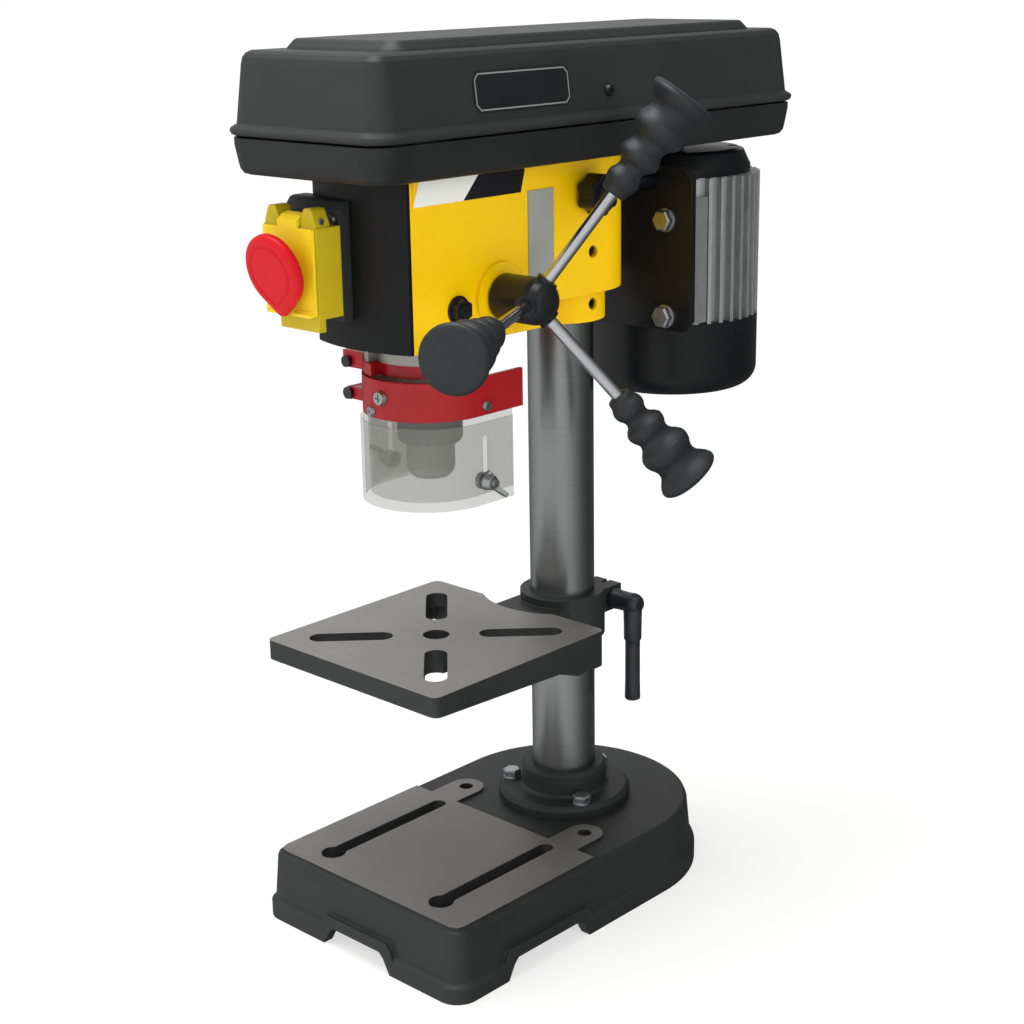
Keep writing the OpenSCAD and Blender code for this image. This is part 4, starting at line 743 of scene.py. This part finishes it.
@dataclass
class FeedHandles(Assembly):
    """Hub, chromed spokes and three bulbed rubber grips; a bulb is a share along the grip and of its radius."""

    hub_mm: Place = (70.0, -104.0, 440.0)
    lean_deg: float = 26.0
    turn_deg: float = 62.3
    start_mm: float = 82.0
    length_mm: float = 74.0
    radius_mm: float = 20.8
    point_mm: float = 0.02
    handles: int = 3
    stations: int = 150
    sides: int = 72
    bulbs: Profile = (
        (0.0, 0.30), (0.005, 0.36), (0.02, 0.395), (0.06, 0.42), (0.105, 0.495), (0.142, 0.52), (0.178, 0.495),
        (0.215, 0.425), (0.247, 0.40), (0.28, 0.44), (0.325, 0.59), (0.365, 0.65), (0.405, 0.625), (0.445, 0.555),
        (0.477, 0.53), (0.515, 0.57), (0.575, 0.74), (0.63, 0.825), (0.68, 0.80), (0.73, 0.715), (0.777, 0.68),
        (0.82, 0.715), (0.87, 0.85), (0.915, 0.965), (0.945, 1.0), (0.968, 0.965), (0.985, 0.86), (0.995, 0.6),
        (1.0, 0.0))

    def girth(self, tree: Tree, largest: Socket) -> Socket:
        """Make the radius of a grip along its line.

        Args:
            tree: the grips' geometry tree.
            largest: the largest radius.

        Returns:
            The radius at each point of the line.
        """
        along = add(tree, "GeometryNodeSplineParameter").outputs["Factor"]
        shape = add(tree, "ShaderNodeFloatCurve", {"Value": along})
        points = shape.mapping.curves[0].points
        for place in self.bulbs[1:-1]:
            points.new(*place)
        for point, place in zip(points, self.bulbs):
            point.location = place
        shape.mapping.update()
        return calc(tree, "MAXIMUM", calc(tree, "MULTIPLY", shape.outputs[0], largest), self.point_mm * MM)

    def tree(self) -> Tree:
        """Build the geometry tree of the grips: a profile swept along each spoke.

        Returns:
            The tree.
        """
        floats = ("Length", "Radius", "Start", "Lean", "Turn")
        tree, size = geometry_tree("handle_grips", floats, Hub="NodeSocketVector")
        low = vector(tree, Z=size["Start"])
        high = vector(tree, Z=calc(tree, "ADD", size["Start"], size["Length"]))
        line = put(tree, "GeometryNodeCurvePrimitiveLine", {"Start": low, "End": high})
        line = put(tree, "GeometryNodeResampleCurve", {"Curve": line, "Count": self.stations})
        circle = put(tree, "GeometryNodeCurvePrimitiveCircle", {"Resolution": self.sides, "Radius": 1.0})
        grip = put(tree, "GeometryNodeCurveToMesh", {"Curve": line, "Profile Curve": circle, "Fill Caps": True,
                                                     "Scale": self.girth(tree, size["Radius"])})
        for turn in ((radians(-90), 0.0, 0.0), vector(tree, Z=size["Lean"]), vector(tree, X=size["Turn"])):
            grip = moved(tree, grip, Rotation=turn)
        hubs = put(tree, "GeometryNodeMeshLine", {"Count": self.handles, "Offset": (0.0, 0.0, 0.0)})
        number = put(tree, "GeometryNodeInputIndex")
        share = vector(tree, X=calc(tree, "MULTIPLY", number, 2 * pi / self.handles))
        grips = put(tree, "GeometryNodeInstanceOnPoints", {"Points": hubs, "Instance": grip, "Rotation": share})
        close_tree(tree, moved(tree, grips, Translation=size["Hub"]), GRIP_RUBBER, sharp_deg=60.0)
        return tree

    def build(self) -> None:
        """Make the three grips as one piece."""
        values = {"Length": self.length_mm * MM, "Radius": self.radius_mm * MM, "Start": self.start_mm * MM,
                  "Lean": radians(-self.lean_deg), "Turn": radians(self.turn_deg),
                  "Hub": [v * MM for v in self.hub_mm]}
        settle(realised("handle_grip_set", self.tree(), values), "feed", "feed_grips")


@dataclass
class BeltDrive(Assembly):
    """Belt cover, pan, pulleys and a notched V-belt; a pulley is its Y and the belt's outer radius on it."""

    front_mm: Pair = (-128.0, 35.4)
    rear_mm: Pair = (125.0, 33.4)
    height_mm: float = 557.0
    top_mm: float = 8.2
    foot_mm: float = 5.4
    deep_mm: float = 6.0
    notch_mm: float = 1.7
    notches: int = 150
    loop_points: int = 720

    def loop(self, tree: Tree, size: Any) -> Socket:
        """Make the belt's outer line: a circle whose points go to the pulley that lies further their way.

        Args:
            tree: the belt's geometry tree.
            size: the tree's inputs.

        Returns:
            The closed line, round both pulleys and straight between them.
        """
        circle = put(tree, "GeometryNodeMeshCircle", {"Vertices": self.loop_points, "Radius": 1.0})
        way = axes_of(tree, put(tree, "GeometryNodeInputPosition"))
        front, rear = (calc(tree, "MULTIPLY_ADD", way["Y"], size[f"{end} Place"], size[f"{end} Radius"])
                       for end in ("Front", "Rear"))
        behind = calc(tree, "GREATER_THAN", rear, front)
        middle, radius = (mix(tree, behind, size[f"Front {key}"], size[f"Rear {key}"]) for key in ("Place", "Radius"))
        spot = vector(tree, X=calc(tree, "MULTIPLY", way["X"], radius),
                      Y=calc(tree, "MULTIPLY_ADD", way["Y"], radius, middle), Z=size["Height"])
        circle = put(tree, "GeometryNodeSetPosition", {"Geometry": circle, "Position": spot})
        return put(tree, "GeometryNodeMeshToCurve", {"Mesh": circle})

    def tree(self) -> Tree:
        """Build the geometry tree that sweeps the belt's wedge section along its line and notches the inside.

        Returns:
            The tree.
        """
        floats = ("Front Place", "Front Radius", "Rear Place", "Rear Radius", "Height", "Top", "Foot", "Deep", "Notch")
        tree, size = geometry_tree("notched_belt", floats, Count="NodeSocketInt")
        line = put(tree, "GeometryNodeResampleCurve", {"Curve": self.loop(tree, size), "Count": size["Count"]})
        line = put(tree, "GeometryNodeSetCurveNormal", {"Curve": line}, mode="Z_UP")
        out = put(tree, "GeometryNodeInputNormal")
        line = put(tree, "GeometryNodeStoreNamedAttribute", {"Geometry": line, "Name": "outward", "Value": out},
                   data_type="FLOAT_VECTOR", domain="POINT")
        corners = {}
        for key, share, deep in (("Top", -0.5, 0.0), ("Top", 0.5, 0.0), ("Foot", 0.5, -1.0), ("Foot", -0.5, -1.0)):
            inward = calc(tree, "MULTIPLY", size["Deep"], deep)
            across = calc(tree, "MULTIPLY", size[key], share)
            corners[f"Point {len(corners) + 1}"] = vector(tree, X=inward, Y=across)
        section = put(tree, "GeometryNodeCurvePrimitiveQuadrilateral", corners, mode="POINTS")
        band = put(tree, "GeometryNodeCurveToMesh", {"Curve": line, "Profile Curve": section})
        # Each ring of the sweep has four points, of which the last two are inside; every other ring is notched.
        number = put(tree, "GeometryNodeInputIndex")
        inner = calc(tree, "GREATER_THAN", calc(tree, "MODULO", number, 4.0), 1.5)
        every_other = calc(tree, "LESS_THAN", calc(tree, "MODULO", number, 8.0), 3.5)
        cut = calc(tree, "MULTIPLY", calc(tree, "MULTIPLY", inner, every_other), size["Notch"])
        lift = put(tree, "ShaderNodeVectorMath", {0: attribute(tree, "outward"), "Scale": cut}, operation="SCALE")
        band = put(tree, "GeometryNodeSetPosition", {"Geometry": band, "Offset": lift})
        close_tree(tree, band, BELT_RUBBER, sharp_deg=30.0)
        return tree

    def build(self) -> None:
        """Make the belt as one piece."""
        sizes = {"Front Place": self.front_mm[0], "Front Radius": self.front_mm[1], "Rear Place": self.rear_mm[0],
                 "Rear Radius": self.rear_mm[1], "Height": self.height_mm, "Top": self.top_mm, "Foot": self.foot_mm,
                 "Deep": self.deep_mm, "Notch": self.notch_mm}
        values = {**{key: size * MM for key, size in sizes.items()}, "Count": self.notches * 2}
        settle(realised("v_belt", self.tree(), values), "frame", "drive_belt")


@dataclass
class Table(Assembly):
    """Slotted table on its split collar, with a moulded clamp lever; a profile is radius and height."""

    elbow_mm: Place = (31.0, 42.0, 192.5)
    arm: Profile = ((7.3, 0.0), (7.5, 0.3), (7.5, 5.0), (7.2, 6.0), (7.2, 16.0), (7.7, 18.7), (7.3, 21.5), (6.1, 24.2),
                    (4.9, 25.4), (4.6, 25.7))
    handle: Profile = ((4.9, 0.0), (5.5, 0.5), (5.8, 1.4), (5.5, 14.0), (5.4, 40.0), (5.5, 46.0), (6.3, 47.0),
                       (6.5, 48.0), (6.6, 60.0), (6.9, 70.0), (6.4, 75.0))
    length_mm: float = 74.5

    def build(self) -> None:
        """Make the lever: an arm on the clamp screw, a round elbow and a handle with a stepped neck."""
        bm = bmesh.new()
        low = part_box("table_lever")[0]
        elbow = Vector(self.elbow_mm) * MM
        lathe(bm, self.arm, posed(Vector((low.x, elbow.y, elbow.z)), (90, "Y")))
        lathe(bm, self.handle, posed(elbow - Vector((0.0, 0.0, self.length_mm * MM))))
        settle(mesh_piece("clamp_lever", bm, LEVER_NYLON, sharp_deg=40.0), "table_handle", "table_lever")


@dataclass
class StopSwitch(Assembly):
    """Switch box, yellow body and flap, and the red stop paddle with its ring groove.

    A ring of the paddle is a share of its outline and a height; a stub is a radius and where it starts and ends in Y.
    """

    centre_mm: Place = (-24.25, -222.0, 438.0)
    tilt_deg: float = 13.0
    round_mm: float = 23.5
    round_up_mm: float = 29.0
    tip_mm: float = 4.6
    arc_points: int = 64
    rings: Profile = (
        (0.93, 0.0), (0.98, 0.25), (0.998, 0.9), (1.0, 1.8), (1.0, 3.0), (0.992, 4.2), (0.97, 5.2), (0.935, 5.9),
        (0.89, 6.4), (0.83, 6.75), (0.78, 6.9), (0.755, 6.8), (0.738, 6.35), (0.71, 6.2), (0.682, 6.35), (0.665, 6.8),
        (0.64, 6.95), (0.5, 7.0), (0.25, 7.0))
    stubs_mm: tuple[Place, ...] = ((9.0, -232.0, -219.8), (10.2, -221.2, -219.8))
    stub_z_mm: float = 465.5
    stub_sides: int = 48

    def outline(self) -> list[Vector]:
        """Trace the paddle's outline: a round top running down to a small round tip.

        Returns:
            Its points in millimetres, across and up.
        """
        side = acos((self.round_mm - self.tip_mm) / (self.round_up_mm - self.tip_mm))
        points = []
        for middle, radius, first, last in ((self.round_up_mm, self.round_mm, -pi + side, pi - side),
                                            (self.tip_mm, self.tip_mm, pi - side, pi + side)):
            for i in range(self.arc_points):
                angle = first + (last - first) * i / (self.arc_points - 1)
                points.append(Vector((radius * sin(angle), middle + radius * cos(angle))))
        return points

    def build(self) -> None:
        """Make the paddle with its rounded rim and the stub that carries it."""
        bm = bmesh.new()
        place = posed(Vector(self.centre_mm) * MM, (self.tilt_deg + 90, "X"))
        middle = Vector((0.0, self.round_up_mm))
        loops = []
        for share, high in self.rings:
            flat = [middle + (point - middle) * share for point in self.outline()]
            loops.append([bm.verts.new(place @ (Vector((point.x, point.y, high)) * MM)) for point in flat])
        skin(bm, loops)
        for r, y0, y1 in self.stubs_mm:
            rod = bmesh.ops.create_cone(bm, cap_ends=True, segments=self.stub_sides, radius1=r * MM, radius2=r * MM,
                                        depth=(y1 - y0) * MM)
            spot = Vector((self.centre_mm[0], (y0 + y1) / 2, self.stub_z_mm)) * MM
            bmesh.ops.transform(bm, matrix=posed(spot, (90, "X")), verts=rod["verts"])
        settle(mesh_piece("stop_paddle_dome", bm, STOP_RED, sharp_deg=40.0), "flap", "stop_paddle")


@dataclass
class Guard(Assembly):
    """Red guard, clear shields and smooth wing nuts; the hub is radius and height, a wing's outline across and up."""

    hub: Profile = ((5.6, 0.0), (5.7, 0.6), (5.4, 1.6), (4.8, 4.6), (4.4, 5.6), (3.4, 6.0))
    bore_mm: float = 2.6
    wing: Profile = ((2.6, 1.2), (6.2, 2.0), (9.6, 4.2), (12.4, 7.4), (12.9, 10.0), (11.4, 11.4), (9.0, 10.2),
                     (6.6, 7.4), (4.4, 5.4), (2.6, 5.2))
    thick_mm: float = 2.6
    root: float = 1.25
    taper_per_mm: float = 0.03
    turn_deg: float = 40.0
    sides: int = 40

    def nut(self, name: str, node: str, body: str, side: float) -> None:
        """Make one wing nut in the place of its CAD node.

        Args:
            name: the piece's name.
            node: the CAD node it stands for.
            body: the body that carries it.
            side: 1 for the operator's right, -1 for the left.
        """
        bm = bmesh.new()
        bore = [(self.bore_mm, self.hub[-1][1]), (self.bore_mm, self.hub[0][1])]
        loops = [ring(bm, radius, high, self.sides, Matrix()) for radius, high in [*self.hub, *bore]]
        skin(bm, loops + loops[:1], capped=False)
        for flip in (0.0, pi):
            spin = Matrix.Rotation(flip, 4, "Z")
            skin(bm, [[bm.verts.new(spin @ Vector((x, off * (self.root - self.taper_per_mm * x), z)))
                       for x, z in self.wing] for off in (-self.thick_mm / 2, self.thick_mm / 2)])
        low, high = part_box(node)
        face = low.x if side > 0 else high.x
        place = Vector((face, (low.y + high.y) / 2, (low.z + high.z) / 2))
        turned = posed(place, (90 * side, "Y"), (self.turn_deg * side, "Z"))
        bmesh.ops.transform(bm, matrix=turned @ Matrix.Scale(MM, 4), verts=bm.verts)
        settle(mesh_piece(name, bm, ZINC_STEEL, sharp_deg=50.0), body, node)

    def build(self) -> None:
        """Make both wing nuts."""
        self.nut("wing_nut_a", "wing_nut_right", "nut_right", 1.0)
        self.nut("wing_nut_b", "wing_nut_left", "nut_left", -1.0)


@dataclass(frozen=True)
class Softbox:
    """One square softbox: its place and side in metres, its power, and whether glossy surfaces reflect it."""

    name: str
    place_m: Place
    side_m: float
    watts: float
    shine: bool

    def hang(self, aim: Vector) -> None:
        """Hang the softbox so that it faces a point.

        Args:
            aim: the point, in metres.
        """
        data = bpy.data.lights.new(self.name, "AREA")
        data.shape, data.size, data.energy = "SQUARE", self.side_m, self.watts
        light = linked(self.name, data)
        light.location = self.place_m
        light.rotation_euler = (aim - Vector(self.place_m)).to_track_quat("-Z", "Y").to_euler()
        light.visible_glossy = self.shine


@dataclass
class Studio:
    """Camera, soft lights, pale surround and floor; the floor's sizes are in metres."""

    place_mm: Place = (842.2, -944.4, 646.1)
    azimuth_deg: float = 43.33
    elevation_deg: float = 16.72
    roll_deg: float = -0.97
    lens_mm: float = 65.21
    sensor_mm: float = 36.0
    clip_m: Pair = (0.05, 200.0)
    aim_mm: Place = (0.0, -40.0, 300.0)
    softboxes: tuple[Softbox, ...] = (
        Softbox("key_softbox", (-1.1, -1.7, 1.7), 1.1, 11.0, False),
        Softbox("top_softbox", (-0.2, -0.3, 2.1), 1.3, 29.0, True),
        Softbox("right_softbox", (1.9, -0.6, 1.1), 0.9, 11.0, False),
        Softbox("back_softbox", (-1.5, 1.6, 1.1), 1.8, 6.0, True))
    glow_from: Place = (0.06, -0.93, 0.36)
    glow_span: Pair = (-0.8, 0.8)
    glow: Pair = (0.10, 0.95)
    floor_m: float = 60.0
    floor_squares: int = 8
    fade_m: Pair = (0.3, 1.1)
    floor_colour: str = "#f5f5f4"
    floor_glow: float = 0.4
    seen_colour: str = "#a2a2a1"
    seen_glow: Pair = (0.62, 1.02)

    def camera(self) -> None:
        """Set the camera at the photograph's angle."""
        data = bpy.data.cameras.new("camera")
        data.lens, data.sensor_width = self.lens_mm, self.sensor_mm
        data.clip_start, data.clip_end = self.clip_m
        camera = linked("camera", data)
        camera.matrix_world = posed(Vector(self.place_mm) * MM, (self.azimuth_deg, "Z"), (90 - self.elevation_deg, "X"),
                                    (self.roll_deg, "Z"))
        bpy.context.scene.camera = camera

    def surround(self) -> None:
        """Light the room: bright in front, dim behind, and white where the camera looks past the part."""
        world = bpy.data.worlds.new("studio")
        bpy.context.scene.world = world
        tree = empty_tree(world)
        way = add(tree, "ShaderNodeTexCoord").outputs["Generated"]
        front = add(tree, "ShaderNodeVectorMath", {0: way, 1: self.glow_from}, operation="DOT_PRODUCT").outputs["Value"]
        glow = ramp(tree, front, self.glow_span, self.glow, interpolation_type="SMOOTHSTEP")
        seen = add(tree, "ShaderNodeLightPath").outputs["Is Camera Ray"]
        light = add(tree, "ShaderNodeBackground", {"Color": WHITE, "Strength": mix(tree, seen, glow, 1.0)})
        add(tree, "ShaderNodeOutputWorld", {"Surface": light.outputs[0]})

    def floor(self) -> None:
        """Lay the plain pale floor, which the camera sees fade into white away from the part."""
        bm = bmesh.new()
        bmesh.ops.create_grid(bm, x_segments=self.floor_squares, y_segments=self.floor_squares, size=self.floor_m / 2)
        mesh = bpy.data.meshes.new("floor")
        bm.to_mesh(mesh)
        bm.free()
        paint = bpy.data.materials.new("pale_floor_paint")
        tree = empty_tree(paint)
        seen = add(tree, "ShaderNodeLightPath").outputs["Is Camera Ray"]
        far = add(tree, "ShaderNodeVectorMath", {0: piece_place(tree)}, operation="LENGTH").outputs["Value"]
        away = ramp(tree, far, self.fade_m, interpolation_type="SMOOTHSTEP")
        seen_tone = mix_colour(tree, away, linear(self.seen_colour), linear("#000000"))
        tone = mix_colour(tree, seen, linear(self.floor_colour), seen_tone)
        glow = mix(tree, seen, self.floor_glow, mix(tree, away, *self.seen_glow))
        shader = add(tree, "ShaderNodeBsdfPrincipled", {"Base Color": tone, "Roughness": 0.9, "Specular IOR Level": 0.1,
                                                        "Emission Color": WHITE, "Emission Strength": glow})
        add(tree, "ShaderNodeOutputMaterial", {"Surface": shader.outputs[0]})
        mesh.materials.append(paint)
        floor = linked("floor", mesh)
        floor.visible_glossy = False

    def build(self) -> None:
        """Set the whole studio."""
        self.camera()
        self.floor()
        self.surround()
        for softbox in self.softboxes:
            softbox.hang(Vector(self.aim_mm) * MM)
        view = bpy.context.scene.view_settings
        view.view_transform, view.look = "Standard", "None"


# The flange's bolts on their circle, and the motor's in a rectangle on its plate.
FLANGE_CIRCLE_MM, FLANGE_TOP_MM, FLANGE_DEG = 39.75, 57.0, (90, 210, 330)
MOTOR_X_MM, MOTOR_Y_MM, MOTOR_Z_MM = (-45.0, 45.0), 60.0, (403.0, 470.0)


def assemblies() -> list[Assembly]:
    """List the sub-assemblies in the order they are built.

    Returns:
        The sub-assemblies.
    """
    low, high = (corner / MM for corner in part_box("cover_plate"))
    border = replace(PLATE_DARK, centre_mm=((low.y + high.y) / 2, (low.z + high.z) / 2),
                     half_mm=((high.y - low.y) / 2, (high.z - low.z) / 2))
    flange_places = [((FLANGE_CIRCLE_MM * cos(radians(a)), FLANGE_CIRCLE_MM * sin(radians(a)),
                       FLANGE_TOP_MM), (0.0, 0.0, a)) for a in FLANGE_DEG]
    motor_places = [((x, MOTOR_Y_MM, z), (90.0, 0.0, 0.0)) for x in MOTOR_X_MM for z in MOTOR_Z_MM]
    return [
        Assembly({"base": BASE_IRON, "column_flange": CAST_BLACK, "column": COLUMN_STEEL}),
        BoltSet(node="flange_bolts", body="frame", shank_mm=3.5, length_mm=21.0, washer_mm=6.6, places=flange_places),
        Table({"work_table": TABLE_IRON, "table_clamp_screw": BLACK_STEEL}),
        Assembly({"head_casting": HEAD_YELLOW, "front_panel": PANEL_BLACK, "head_screws": BLACK_STEEL,
                  "side_plates": PLATE_BARE, "pinion_bushing": BRONZE, "spring_cap": MOTOR_BLACK,
                  "return_spring": SPRING_STEEL}),
        BeltDrive({"belt_pan": PAN_PAINTED_SHADE_BLACK, "belt_cover": COVER_BLACK, "cover_plate": border, "cover_screw": BLACK_STEEL,
                   "cover_hinge_pins": ZINC_STEEL, "pulley_bearing": GROUND_STEEL, "spindle_pulley": ALLOY,
                   "drive_sleeve": DARK_STEEL, "motor_pulley": ALLOY, "tension_knob": PHENOLIC}),
        Assembly({"motor_plate": MOTOR_BLACK, "slide_rods": DARK_STEEL, "motor_body": ALLOY, "motor_bell": MOTOR_BLACK,
                  "motor_cap": MOTOR_BLACK, "motor_shaft": GROUND_STEEL}),
        BoltSet(node="motor_bolts", body="motor", shank_mm=4.0, length_mm=20.5, washer_mm=8.4, places=motor_places),
        FeedHandles({"feed_hub": PHENOLIC, "pinion_shaft": DARK_STEEL, "feed_spokes": CHROME}),
        Assembly({"quill": GROUND_STEEL, "quill_bearings": DARK_STEEL, "spindle": GROUND_STEEL,
                  "chuck_body": CHUCK_STEEL, "chuck_sleeve": SLEEVE_STEEL, "chuck_jaw_1": CHUCK_STEEL,
                  "chuck_jaw_2": CHUCK_STEEL, "chuck_jaw_3": CHUCK_STEEL}),
        Guard({"guard_collar": GUARD_GREY, "guard_mount": GUARD_RED, "guard_pin": BLACK_STEEL,
               "guard_bracket": GUARD_RED, "guard_screws": ZINC_STEEL, "guard_shield": CLEAR_SHEET,
               "sliding_shield": CLEAR_SHEET}),
        StopSwitch({"switch_box": SWITCH_GREY, "switch_body": SWITCH_PAINTED_SHADE_YELLOW, "switch_screws": ZINC_STEEL,
                    "switch_flap": SWITCH_YELLOW, "start_button": START_GREEN, "stop_button": STOP_RED}),
    ]


def main() -> None:
    """Build the studio and every sub-assembly in order."""
    logging.basicConfig(level=logging.INFO, format="%(name)s: %(message)s")
    Studio().build()
    for part in assemblies():
        part.dress()
        part.build()


if __name__ == "__main__":
    main()
